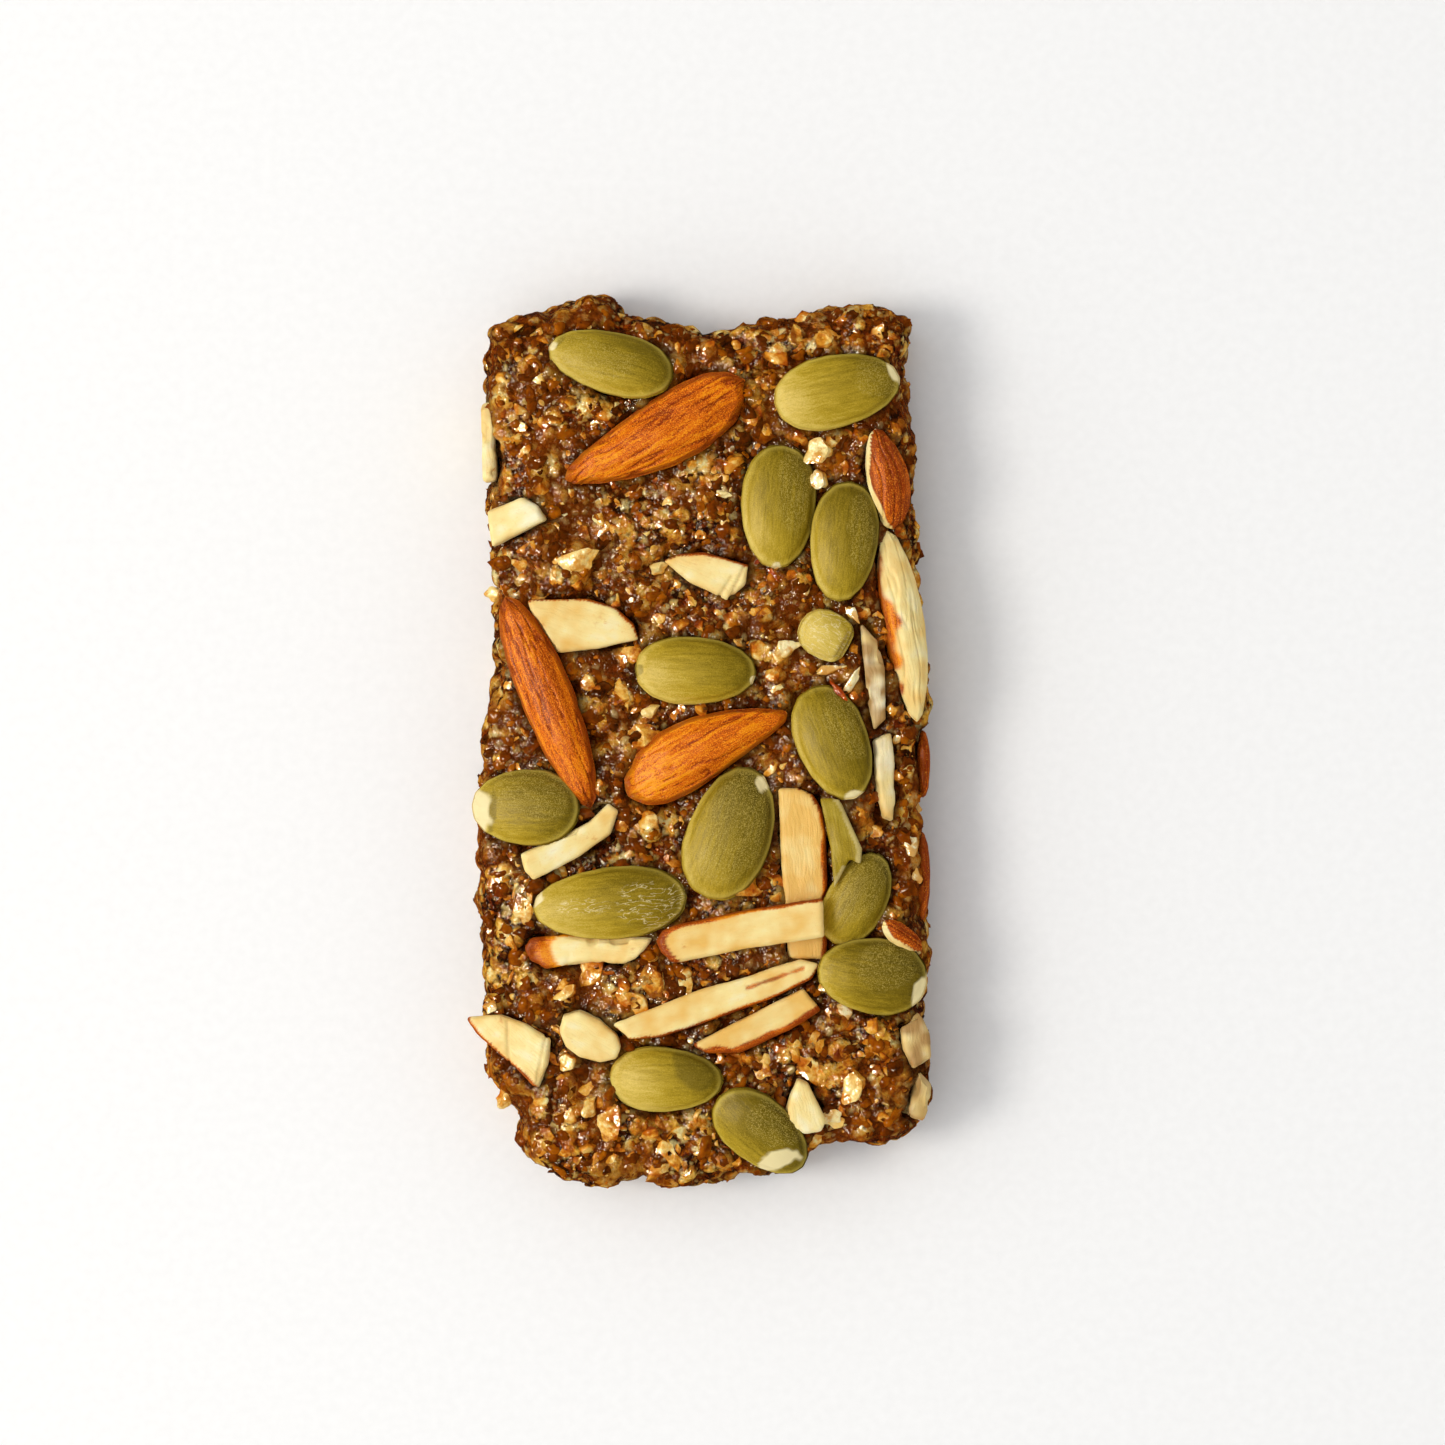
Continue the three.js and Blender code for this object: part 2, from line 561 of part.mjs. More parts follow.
// shapeOf gives the piece in its place for the facets asked for.
function addTopping(name, finish, shapeOf, pocketFacets = POCKET) {
  toppings.push({
    name,
    finish,
    geometry: shapeOf(FINE),
    pocket: inflated(shapeOf(pocketFacets), GAP),
  });
}

PUMPKIN_SEEDS.forEach((seed, index) => {
  const name = `pumpkin_seed_${String(index + 1).padStart(2, "0")}`;
  const placing = { ...seed, reach: 0.35 * seed.long };
  addTopping(name, "seed", (facets) => lay(pumpkinSeed(seed, facets), placing));
});

// The stump is a seed whose tip is sliced off.
addTopping("pumpkin_seed_stump", "seed", (facets) => {
  const slicer = new THREE.BoxGeometry(10, 10, 10);
  slicer.rotateY(THREE.MathUtils.degToRad(-24));
  slicer.translate(SEED_STUMP.cutAt + 5, 0, 0);
  const stump = toSolid(pumpkinSeed(SEED_STUMP, facets)).subtract(toSolid(slicer));
  return lay(toGeometry(stump), SEED_STUMP);
});

for (const almond of ALMONDS) {
  const placing = { ...almond, reach: 0.3 * almond.long };
  addTopping(almond.name, "skin", (facets) => lay(halfAlmond(almond, facets), placing), FINE);
}

for (const almond of WALL_ALMONDS) {
  addTopping(almond.name, "skin", (facets) => wallAlmond(almond, facets).translate(...almond.at));
}

for (const sliver of SLIVERS) {
  const placing = { ...sliver, at: middleOf(sliver.outline) };
  const finish = sliver.name === "seed_skin" ? "seed" : "flesh";
  addTopping(sliver.name, finish, (facets) => lay(cutPiece(sliver, facets), placing));
}

function boundsOf(geometry) {
  return new THREE.Box3().setFromBufferAttribute(geometry.attributes.position);
}

// Where two toppings meet, the later one gives way to the earlier.
toppings.forEach((topping, index) => {
  const box = boundsOf(topping.geometry);
  let solid = toSolid(topping.geometry);
  let isCut = false;
  for (const earlier of toppings.slice(0, index)) {
    if (!box.intersectsBox(boundsOf(earlier.pocket))) continue;
    const cutter = toSolid(earlier.pocket);
    if (solid.intersect(cutter).volume() < 1e-4) continue;
    solid = solid.subtract(cutter);
    isCut = true;
  }
  if (isCut) topping.geometry = toGeometry(solid);
});

// ---------------------------------------------------------------- slab with its granules

// A granule is left out where it would reach a topping.
const footprints = toppings.map(({ pocket }) => boundsOf(pocket));

function isClear(x, y, z, radius) {
  const sphere = new THREE.Sphere(new THREE.Vector3(x, y, z), radius);
  return !footprints.some((box) => box.intersectsSphere(sphere));
}

function fusedGranules() {
  const random = seededRandom(FIRST_SEED);
  const granules = [];
  for (const { at: [x, y], size, turn } of STUCK_FLAKES) {
    granules.push(lay(pebble(size, random), { at: [x, y], turn, lift: 0.2 }));
  }
  let placed = 0;
  while (placed < LOOSE_GRANULES) {
    const size = THREE.MathUtils.lerp(...GRANULE_SIZES, random());
    const shape = [size * 1.15, size, size * 0.7];
    const onWall = random() < 0.3;
    const granule = pebble(shape, random);
    let spot;
    if (onWall) {
      const index = Math.floor(random() * outline.length);
      const height = THREE.MathUtils.lerp(2.2, 8.2, random());
      spot = outline[index].clone().addScaledVector(outward[index], -0.75);
      spot.z = height;
      granule.rotateY(Math.PI / 2);
      granule.rotateZ(Math.atan2(outward[index].y, outward[index].x));
    } else {
      const x = THREE.MathUtils.lerp(-22.5, 23.5, random());
      const y = THREE.MathUtils.lerp(-47, 46.5, random());
      if (distanceToEdge(x, y) < 2) continue;
      spot = new THREE.Vector3(x, y, topHeight(x, y) + 0.1);
      granule.rotateZ(random() * Math.PI);
    }
    if (!isClear(spot.x, spot.y, spot.z, size * 0.6)) continue;
    granules.push(granule.translate(spot.x, spot.y, spot.z));
    placed += 1;
  }
  return granules;
}

let slab = toSolid(slabGeometry());
for (const granule of fusedGranules()) slab = slab.add(toSolid(granule));
for (const { pocket } of toppings) slab = slab.subtract(toSolid(pocket));

// ---------------------------------------------------------------- scene graph

const finishes = {
  slab: { color: 0x6b3a16, roughness: 0.4, metalness: 0 },
  seed: { color: 0x8f8b3c, roughness: 0.5, metalness: 0 },
  skin: { color: 0xb4601c, roughness: 0.65, metalness: 0 },
  flesh: { color: 0xf2dca4, roughness: 0.55, metalness: 0 },
};

function pieceMesh(name, geometry, finish) {
  const mesh = new THREE.Mesh(geometry, new THREE.MeshStandardMaterial(finishes[finish]));
  mesh.name = name;
  return mesh;
}

const granolaBar = new THREE.Group();
granolaBar.add(pieceMesh("granola_slab", toGeometry(slab), "slab"));
for (const { name, geometry, finish } of toppings) {
  granolaBar.add(pieceMesh(name, geometry, finish));
}

// The whole bar is centred over the origin.
const whole = new THREE.Box3().setFromObject(granolaBar);
const centre = whole.getCenter(new THREE.Vector3());
granolaBar.position.set(-centre.x, -centre.y, -whole.min.z);

export default granolaBar;
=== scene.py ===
# %% [markdown]
# # A granola bar with seeds and almonds
# This lesson dresses the plain solids of a pressed granola bar. The solids say where the
# slab, each pumpkin seed and each piece of almond lie. Blender gives them a finer shape and
# their finish, and scatters the small grains that make the slab look like food.

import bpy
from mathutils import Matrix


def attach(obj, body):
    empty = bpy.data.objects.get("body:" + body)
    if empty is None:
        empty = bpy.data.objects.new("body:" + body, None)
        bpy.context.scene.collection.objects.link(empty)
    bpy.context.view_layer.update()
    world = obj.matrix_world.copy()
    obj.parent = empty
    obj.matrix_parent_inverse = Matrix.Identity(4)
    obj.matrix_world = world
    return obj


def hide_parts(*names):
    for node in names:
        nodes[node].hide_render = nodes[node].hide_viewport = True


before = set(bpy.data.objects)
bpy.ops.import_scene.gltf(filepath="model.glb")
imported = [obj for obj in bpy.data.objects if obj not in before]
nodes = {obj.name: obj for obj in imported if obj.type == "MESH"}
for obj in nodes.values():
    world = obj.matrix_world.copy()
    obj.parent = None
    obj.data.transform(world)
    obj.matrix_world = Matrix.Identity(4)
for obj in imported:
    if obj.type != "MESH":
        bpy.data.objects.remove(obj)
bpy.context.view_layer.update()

# %% The other libraries
import math

import bpy
import numpy as np
from mathutils import Matrix, Vector
from mathutils.bvhtree import BVHTree
from mathutils.kdtree import KDTree

MM = 0.001
SCENE = bpy.context.scene
SEED_OF_ALL = 20

# %% [markdown]
# ## Helpers for modelling
# Operators act on all that is selected, so each helper first deselects everything. A
# modifier is added, set and applied at once, as a modeller does by hand.

# %% Add, pick and modify one object
def add_object(name, data):
    made = bpy.data.objects.new(name, data)
    SCENE.collection.objects.link(made)
    return made


def add_primitive(operator, **settings):
    bpy.ops.object.select_all(action="DESELECT")
    operator(**settings)
    return bpy.context.object


def pick(piece):
    bpy.ops.object.select_all(action="DESELECT")
    piece.select_set(True)
    bpy.context.view_layer.objects.active = piece


def apply_modifier(piece, kind, **settings):
    pick(piece)
    bpy.ops.object.modifier_add(type=kind)
    modifier = piece.modifiers[-1]
    for name, value in settings.items():
        setattr(modifier, name, value)
    bpy.ops.object.modifier_apply(modifier=modifier.name)


# %% Read and move the points of a mesh
def points_of(piece, what="co"):
    """Where each point lies; with what="normal" the way in which it faces."""
    flat = np.empty(3 * len(piece.data.vertices), np.float32)
    piece.data.vertices.foreach_get(what, flat)
    return flat.reshape(-1, 3).astype(float)


def spots_of(piece):
    """Each point's place in millimetres and the way in which it faces."""
    return points_of(piece) / MM, points_of(piece, "normal")


def faces_of(piece):
    """The surface as triangles, each as the numbers of its three corners."""
    piece.data.calc_loop_triangles()
    found = piece.data.loop_triangles
    flat = np.empty(3 * len(found), np.int32)
    found.foreach_get("vertices", flat)
    return flat.reshape(-1, 3)


def set_spots(piece, spots):
    piece.data.vertices.foreach_set("co", (spots * MM).astype(np.float32).ravel())
    piece.data.update()


def paint(piece, **layers):
    """Stores a number or a vector for each point, which a material can read."""
    count = len(piece.data.vertices)
    for name, values in layers.items():
        values = np.asarray(values, np.float32)
        if values.ndim == 2:
            layer = piece.data.attributes.new(name, "FLOAT_VECTOR", "POINT")
            layer.data.foreach_set("vector", values.ravel())
        else:
            layer = piece.data.attributes.new(name, "FLOAT", "POINT")
            layer.data.foreach_set("value", np.resize(values, count))


# %% Soft random relief, the same on every run
def cloud(points, size, salt):
    """Smooth random values from -1 to 1 that change over about size, in the points' unit."""
    scaled = points / size + 31.7 * salt
    cell = np.floor(scaled).astype(np.int64)
    part = scaled - cell
    part = part * part * (3 - 2 * part)
    total = np.zeros(len(points))
    for corner in np.ndindex(2, 2, 2):
        spot = cell + corner
        mixed = spot[:, 0] * 73856093 ^ spot[:, 1] * 19349663 ^ spot[:, 2] * 83492791
        mixed = (mixed ^ (mixed >> 13)) * 1274126177
        value = ((mixed ^ (mixed >> 16)) & 65535) / 32767.5 - 1
        share = np.prod(np.where(corner, part, 1 - part), axis=1)
        total += value * share
    return total


def clouds(points, layers, salt):
    """Soft relief of several breadths added up. Each layer is its height and breadth."""
    return sum(height * cloud(points, breadth, salt + i)
               for i, (height, breadth) in enumerate(layers))


def areas(triangles):
    """The area of each triangle, times two, from its three corners."""
    first, second, third = triangles.transpose(1, 0, 2)
    return np.linalg.norm(np.cross(second - first, third - first), axis=1)


def fade(values, start, end):
    """0 at start and 1 at end, smooth between them; end may be the smaller."""
    share = np.clip((values - start) / (end - start), 0, 1)
    return share * share * (3 - 2 * share)


# %% [markdown]
# ## Finding a solid's own directions
# A seed lies at any angle, so its length, width and outward directions are worked out from
# the solid itself: the directions in which its surface spreads most, less and least. A
# pattern such as fibres can then follow the piece, whichever way it lies.

# %% Length, width and outward directions of a solid
def own_axes(node):
    corners = points_of(nodes[node])
    faces = corners[faces_of(nodes[node])]
    area = areas(faces)
    middles = faces.mean(axis=1)
    centre = (middles * area[:, None]).sum(0) / area.sum()
    offset = middles - centre
    outward, width, length = np.linalg.eigh(offset.T @ (offset * area[:, None]))[1].T
    on_wall = abs(outward[2]) < 0.5
    facing = outward[0] * centre[0] if on_wall else outward[2]
    outward = outward if facing > 0 else -outward
    along = offset @ length
    spread = np.abs(offset @ width)
    reach = np.abs(along).max()
    far_end = spread[along > 0.5 * reach].mean()
    near_end = spread[along < -0.5 * reach].mean()
    length = length if far_end < near_end else -length
    width = np.cross(outward, length)
    axes = np.stack([length, width, outward])
    own = (corners - centre) @ axes.T
    low, high = own.min(0), own.max(0)
    return centre + (low + high) / 2 @ axes, axes, (high - low) / 2


# %% [markdown]
# ## Colours
# Colours are written as they look on a screen, from 0 to 255, and turned into the linear
# values that shaders work with.

# %% Screen colours to shader colours
def shade(*screen):
    channels = [v / 255 for v in screen]
    return tuple(v / 12.92 if v < 0.04 else ((v + 0.055) / 1.055) ** 2.4 for v in channels) + (1,)


SYRUP_DARK = shade(38, 12, 0)
SYRUP_BROWN = shade(126, 56, 2)
SYRUP_AMBER = shade(206, 116, 8)
SYRUP_STAIN = shade(236, 199, 128)
SYRUP_SMEAR = shade(221, 170, 90)
GRAIN_BROWN = shade(190, 118, 38)
GRAIN_DULL = shade(142, 86, 36)
GRAIN_GOLD = shade(238, 174, 54)
GRAIN_TAN = shade(250, 200, 96)
GRAIN_CREAM = shade(255, 234, 158)
SEED_DEEP = shade(80, 66, 4)
SEED_GREEN = shade(130, 107, 10)
SEED_YELLOW = shade(184, 153, 34)
SEED_LIGHT = shade(224, 194, 92)
SEED_RIM = shade(206, 182, 78)
SEED_DUST = shade(196, 172, 84)
SEED_PALE = shade(240, 222, 164)
SKIN_DARK = shade(152, 56, 2)
SKIN_RUST = shade(228, 108, 4)
SKIN_ORANGE = shade(255, 160, 6)
SKIN_EDGE = shade(150, 62, 6)
SKIN_DUST = shade(255, 170, 56)
FLESH_CREAM = shade(253, 229, 156)
FLESH_WORN = shade(178, 138, 82)
FLESH_WARM = shade(242, 192, 100)
FLESH_PALE = shade(255, 244, 204)

# %% [markdown]
# ## Building node trees by name
# Small helpers keep the materials readable: one adds any node and fills its inputs, some do
# sums with masks, and some blend or lay one colour over another.

# %% Helpers for shader nodes
def put(tree, kind, settings=None, **inputs):
    made = tree.nodes.new(kind)
    for name, value in (settings or {}).items():
        setattr(made, name, value)
    for name, value in inputs.items():
        feed(tree, made.inputs[name.replace("_", " ")], value)
    return made


def feed(tree, socket, value):
    if isinstance(value, bpy.types.NodeSocket):
        tree.links.new(value, socket)
    else:
        socket.default_value = value


def sums(tree, operation, *values, kind="ShaderNodeMath"):
    made = put(tree, kind, {"operation": operation})
    for socket, value in zip(made.inputs, values):
        feed(tree, socket, value)
    return made.outputs[0]


def vectors(tree, operation, *values):
    return sums(tree, operation, *values, kind="ShaderNodeVectorMath")


def times(tree, first, second, plus=0.0):
    return sums(tree, "MULTIPLY_ADD", first, second, plus)


def sway(tree, tone, value, amount):
    """A tone moved up and down by a value that lies around a half."""
    return times(tree, sums(tree, "SUBTRACT", value, 0.5), amount, tone)


def blend(tree, share, first, second, mode="MIX"):
    made = tree.nodes.new("ShaderNodeMix")
    made.data_type = "RGBA"
    made.blend_type = mode
    for index, value in ((0, share), (6, first), (7, second)):
        feed(tree, made.inputs[index], value)
    return made.outputs[2]


def tinted(tree, colour, tint, mask, strength):
    """A tint laid over a colour where the mask is 1, at some strength."""
    return blend(tree, times(tree, mask, strength), colour, tint)


def ramp(tree, value, stops):
    made = put(tree, "ShaderNodeValToRGB", Fac=value)
    bands = made.color_ramp.elements
    while len(bands) < len(stops):
        bands.new(0.5)
    for band, (place, colour) in zip(bands, stops):
        band.position = place
        band.color = colour
    return made.outputs[0]


def noise(tree, vector, scale, detail, **more):
    return put(tree, "ShaderNodeTexNoise", Vector=vector, Scale=scale, Detail=detail, **more).outputs


def band(tree, value, start, end):
    """0 below start and 1 above end."""
    return put(tree, "ShaderNodeMapRange", {"interpolation_type": "SMOOTHSTEP"},
               Value=value, From_Min=start, From_Max=end).outputs[0]


def layer(tree, name, what="Fac"):
    """What is painted on the piece: a number, or with what="Vector" a vector."""
    return put(tree, "ShaderNodeAttribute", {"attribute_name": name}).outputs[what]


def place_in_bar(tree):
    """Millimetres in the bar's own frame."""
    spot = put(tree, "ShaderNodeTexCoord").outputs["Object"]
    return put(tree, "ShaderNodeMapping", Vector=spot, Scale=(1 / MM,) * 3).outputs[0]


# %% [markdown]
# ## Shared effects as node groups
# Fibres, dust, sticky bumps and smears of syrup turn up in several finishes. Each is a node
# group with named inputs and outputs, and puts out only values, so that every material can
# use it with its own sizes.

# %% A new group with its inputs and outputs
def new_group(name, outputs, **numbers):
    """A group that takes a Vector and some numbers, each with its usual value."""
    group = bpy.data.node_groups.new(name, "ShaderNodeTree")
    add_socket = group.interface.new_socket
    add_socket("Vector", in_out="INPUT", socket_type="NodeSocketVector")
    for title, value in numbers.items():
        socket = add_socket(title, in_out="INPUT", socket_type="NodeSocketFloat")
        socket.default_value = value
    for title in outputs:
        add_socket(title, in_out="OUTPUT", socket_type="NodeSocketFloat")
    start = group.nodes.new("NodeGroupInput")
    end = group.nodes.new("NodeGroupOutput")
    return group, start.outputs, end.inputs


def use(tree, group, **inputs):
    made = tree.nodes.new("ShaderNodeGroup")
    made.node_tree = group
    for name, value in inputs.items():
        feed(tree, made.inputs[name], value)
    return made.outputs


# %% Fibres that run along a piece
fibres, given, result = new_group(
    "fibres", ["Coarse", "Fine", "Line"], Along=0.2, Across=1.5, Wander=0.5)
across = given["Across"]
stretch = put(fibres, "ShaderNodeCombineXYZ", X=given["Along"], Y=across, Z=across).outputs[0]
drift = noise(fibres, given["Vector"], 0.35, 1.0)["Color"]
moved = vectors(fibres, "MULTIPLY_ADD", drift, given["Wander"], given["Vector"])
drawn = vectors(fibres, "MULTIPLY", moved, stretch)
coarse = noise(fibres, drawn, 1.0, 3.0)[0]
feed(fibres, result["Coarse"], coarse)
feed(fibres, result["Fine"], noise(fibres, drawn, 3.4, 4.0)[0])
HALF_LINE = 0.025
from_middle = sums(fibres, "ABSOLUTE", sums(fibres, "SUBTRACT", coarse, 0.5))
feed(fibres, result["Line"], band(fibres, from_middle, HALF_LINE, 0.0))

# %% Dust, pores and speckles
dust, given, result = new_group("dust", ["Mask", "Height"], Size=0.3, Amount=0.4)
scale = sums(dust, "DIVIDE", 1.0, given["Size"])
specks = noise(dust, given["Vector"], scale, 3.0)[0]
limit = sums(dust, "SUBTRACT", 0.75, times(dust, given["Amount"], 0.4))
shown = times(dust, sums(dust, "SUBTRACT", specks, limit), 8.0)
feed(dust, result["Mask"], sums(dust, "MINIMUM", sums(dust, "MAXIMUM", shown, 0.0), 1.0))
feed(dust, result["Height"], specks)

# %% Sticky bumps of syrup
sticky, given, result = new_group("sticky_bumps", ["Height", "Cell", "Inside"], Size=0.6)
scale = sums(sticky, "DIVIDE", 1.0, given["Size"])
warp = noise(sticky, given["Vector"], scale, 2.0)["Color"]
warped = vectors(sticky, "MULTIPLY_ADD", warp, given["Size"], given["Vector"])
drops = put(sticky, "ShaderNodeTexVoronoi", {"feature": "SMOOTH_F1"},
            Vector=warped, Scale=scale, Smoothness=0.3)
ripple = noise(sticky, given["Vector"], times(sticky, scale, 2.2), 2.0)
domes = sums(sticky, "SUBTRACT", 1.0, drops.outputs["Distance"])
feed(sticky, result["Height"], times(sticky, ripple[0], 0.55, domes))
split = put(sticky, "ShaderNodeSeparateColor", Color=drops.outputs["Color"])
feed(sticky, result["Cell"], split.outputs[0])
feed(sticky, result["Inside"], band(sticky, domes, 0.4, 0.8))

# %% Where wet syrup has run over everything
smear, given, result = new_group("smear", ["Mask", "Shade"])
runs = noise(smear, given["Vector"], 0.5, 4.0, Roughness=0.6)[0]
feed(smear, result["Mask"], band(smear, runs, 0.47, 0.58))
clusters = noise(smear, given["Vector"], 0.55, 3.0)[0]
mottle = noise(smear, given["Vector"], 2.1, 3.0)[0]
feed(smear, result["Shade"], sway(smear, sway(smear, 0.0, clusters, 2.0), mottle, 1.0))


def smeared(tree, colour, film):
    """Browns a colour where a film of syrup has run over it."""
    browned = blend(tree, 1.0, colour, SYRUP_SMEAR, "MULTIPLY")
    return tinted(tree, colour, browned, film, 0.85)


print("shared effects:", [g.name for g in bpy.data.node_groups])

# %% [markdown]
# ## The finishes
# Every material is one Principled shader. Colour, roughness and bump come from the shared
# groups and from what is painted on the piece; numbers that are the same all over are set
# on the shader's own sockets.

# %% A new material with its shader
def new_finish(name, **fixed):
    material = bpy.data.materials.new(name)
    material.use_nodes = True
    tree = material.node_tree
    shader = tree.nodes["Principled BSDF"]
    for title, value in fixed.items():
        shader.inputs[title.replace("_", " ")].default_value = value
    return material, tree, shader.inputs


def add_bump(tree, surface, height, depth_mm, strength=1.0):
    bump = put(tree, "ShaderNodeBump", Strength=strength, Distance=depth_mm * MM, Height=height)
    feed(tree, surface["Normal"], bump.outputs[0])


# %% Sticky slab: dark glossy syrup over granules of every brown
WARM_STOPS = [(0.0, GRAIN_DULL), (0.2, GRAIN_BROWN), (0.5, GRAIN_GOLD), (0.72, GRAIN_TAN),
              (0.95, GRAIN_CREAM)]
SYRUP_STOPS = [(0.45, SYRUP_DARK), (0.56, SYRUP_BROWN), (0.68, SYRUP_AMBER)]

slab_finish, tree, surface = new_finish(
    "sticky_slab", Subsurface_Weight=0.15, Subsurface_Radius=(1.0, 0.5, 0.15),
    Subsurface_Scale=0.6 * MM)
spot = place_in_bar(tree)
patches = noise(tree, spot, 0.3, 4.0, Roughness=0.62)[0]
mottle = noise(tree, spot, 1.4, 4.0, Roughness=0.6)[0]
bumps = use(tree, sticky, Vector=spot, Size=1.1)
fine_bumps = use(tree, sticky, Vector=spot, Size=0.55)
runs = use(tree, smear, Vector=spot)

# Clear syrup, with soaked crumbs of two sizes in it.
depth = times(tree, mottle, 0.6, times(tree, patches, 0.4))
colour = ramp(tree, depth, SYRUP_STOPS)
uneven = times(tree, mottle, 0.9, -0.45)
for crumbs, strength, start, end in ((bumps, 0.55, 0.5, 0.65), (fine_bumps, 0.35, 0.6, 0.7)):
    tint = ramp(tree, sums(tree, "ADD", crumbs["Cell"], uneven), WARM_STOPS)
    shown = times(tree, crumbs["Inside"], band(tree, crumbs["Cell"], start, end))
    colour = tinted(tree, colour, tint, shown, strength)

# Granules that stand out of it, in their own tone.
own_tone = times(tree, layer(tree, "tone"), 0.5, 0.25)
granule = ramp(tree, sums(tree, "ADD", own_tone, runs["Shade"]), WARM_STOPS)
clear = band(tree, times(tree, uneven, 1.2, layer(tree, "dome")), 0.4, 0.85)
colour = tinted(tree, colour, granule, clear, 0.85)

# Browner where syrup has run, in broad zones, and darkest beside the toppings, where syrup has
# gathered and contact shade is painted with it.
colour = smeared(tree, colour, runs["Mask"])
zones = band(tree, noise(tree, spot, 0.14, 2.0)[0], 0.35, 0.6)
colour = blend(tree, times(tree, zones, -0.6, 0.6), colour, SYRUP_BROWN)
colour = tinted(tree, colour, SYRUP_DARK, layer(tree, "pool"), 0.85)
feed(tree, surface["Base Color"], colour)
feed(tree, surface["Roughness"], times(tree, mottle, 0.2))
add_bump(tree, surface, times(tree, fine_bumps["Height"], 0.1, bumps["Height"]), 0.4)

# %% Grains: from brown to cream, drowned in syrup towards their foot, where shade is painted too
def grain_finish(name, stops, glaze, uneven=0.8):
    material, tree, surface = new_finish(
        name, Subsurface_Weight=0.12, Subsurface_Radius=(1.0, 0.7, 0.35),
        Subsurface_Scale=0.5 * MM)
    spot = place_in_bar(tree)
    runs = use(tree, smear, Vector=spot)
    chalk = use(tree, dust, Vector=spot, Size=0.3, Amount=0.5)
    bumps = use(tree, sticky, Vector=spot, Size=0.9)
    own_tone = times(tree, layer(tree, "tone"), 0.6, 0.2)
    tone = times(tree, runs["Shade"], uneven, own_tone)
    colour = ramp(tree, tone, stops)
    colour = tinted(tree, colour, GRAIN_CREAM, chalk["Mask"], 0.25)
    # Browner and wetter towards a grain's foot and beside toppings: syrup there, and painted shade
    # with it.
    wet = times(tree, runs["Shade"], -0.5, sums(tree, "ADD", layer(tree, "sunk"), glaze))
    stained = blend(tree, 1.0, colour, SYRUP_STAIN, "MULTIPLY")
    colour = blend(tree, band(tree, wet, -0.1, 0.45), colour, stained)
    colour = tinted(tree, colour, SYRUP_BROWN, band(tree, wet, 0.4, 0.85), 0.85)
    colour = smeared(tree, colour, runs["Mask"])
    feed(tree, surface["Base Color"], colour)
    gloss = sums(tree, "MAXIMUM", band(tree, wet, -0.1, 0.5), runs["Mask"])
    feed(tree, surface["Roughness"], times(tree, gloss, -0.22, 0.36))
    add_bump(tree, surface, bumps["Height"], 0.14)
    return material


grain_look = grain_finish("grain", WARM_STOPS, 0.12)
crumb_look = grain_finish("crumb", WARM_STOPS, 0.26)

# %% Drops of clear syrup
syrup_look, tree, surface = new_finish(
    "syrup_drop", Roughness=0.06, Subsurface_Weight=0.3, Subsurface_Radius=(1.0, 0.45, 0.1),
    Subsurface_Scale=0.6 * MM)
mottle = noise(tree, place_in_bar(tree), 1.2, 3.0)[0]
clear = ramp(tree, sway(tree, layer(tree, "tone"), mottle, 0.8),
             [(0.05, SYRUP_DARK), (0.45, SYRUP_BROWN), (1.0, SYRUP_AMBER)])
feed(tree, surface["Base Color"], clear)

# %% Pumpkin seed: satin olive skin with fine fibres, a pale rim and dry marks
seed_finish, tree, surface = new_finish("seed_skin_look", Specular_IOR_Level=0.07)
own = layer(tree, "own", "Vector")
lines = use(tree, fibres, Vector=own, Along=0.16, Across=1.4, Wander=0.5)
specks = use(tree, dust, Vector=own, Size=0.28, Amount=0.4)
powder = use(tree, dust, Vector=own, Size=0.11, Amount=0.6)
scratches = use(tree, fibres, Vector=own, Along=0.45, Across=1.9, Wander=1.2)
tone = sway(tree, layer(tree, "tone"), lines["Coarse"], 0.35)
tone = sway(tree, tone, lines["Fine"], 0.35)
tone = sway(tree, tone, powder["Height"], 0.55)
skin = ramp(tree, tone, [(0.05, SEED_DEEP), (0.4, SEED_GREEN), (0.7, SEED_YELLOW), (1.0, SEED_LIGHT)])
skin = tinted(tree, skin, SEED_DEEP, layer(tree, "dark"), 0.5)
skin = tinted(tree, skin, SEED_RIM, layer(tree, "rim"), 0.8)
powdered = times(tree, layer(tree, "scuff"), 0.55, 0.08)
dry = sums(tree, "MAXIMUM", specks["Mask"], powder["Mask"])
skin = tinted(tree, skin, SEED_DUST, dry, powdered)
scratched = times(tree, scratches["Line"], layer(tree, "scratch"))
skin = tinted(tree, skin, SEED_PALE, scratched, 0.75)
skin = blend(tree, layer(tree, "pale"), skin, SEED_PALE)
feed(tree, surface["Base Color"], skin)
feed(tree, surface["Roughness"], times(tree, lines["Fine"], 0.3, 0.34))
add_bump(tree, surface, times(tree, powder["Height"], 0.4, lines["Fine"]), 0.06)

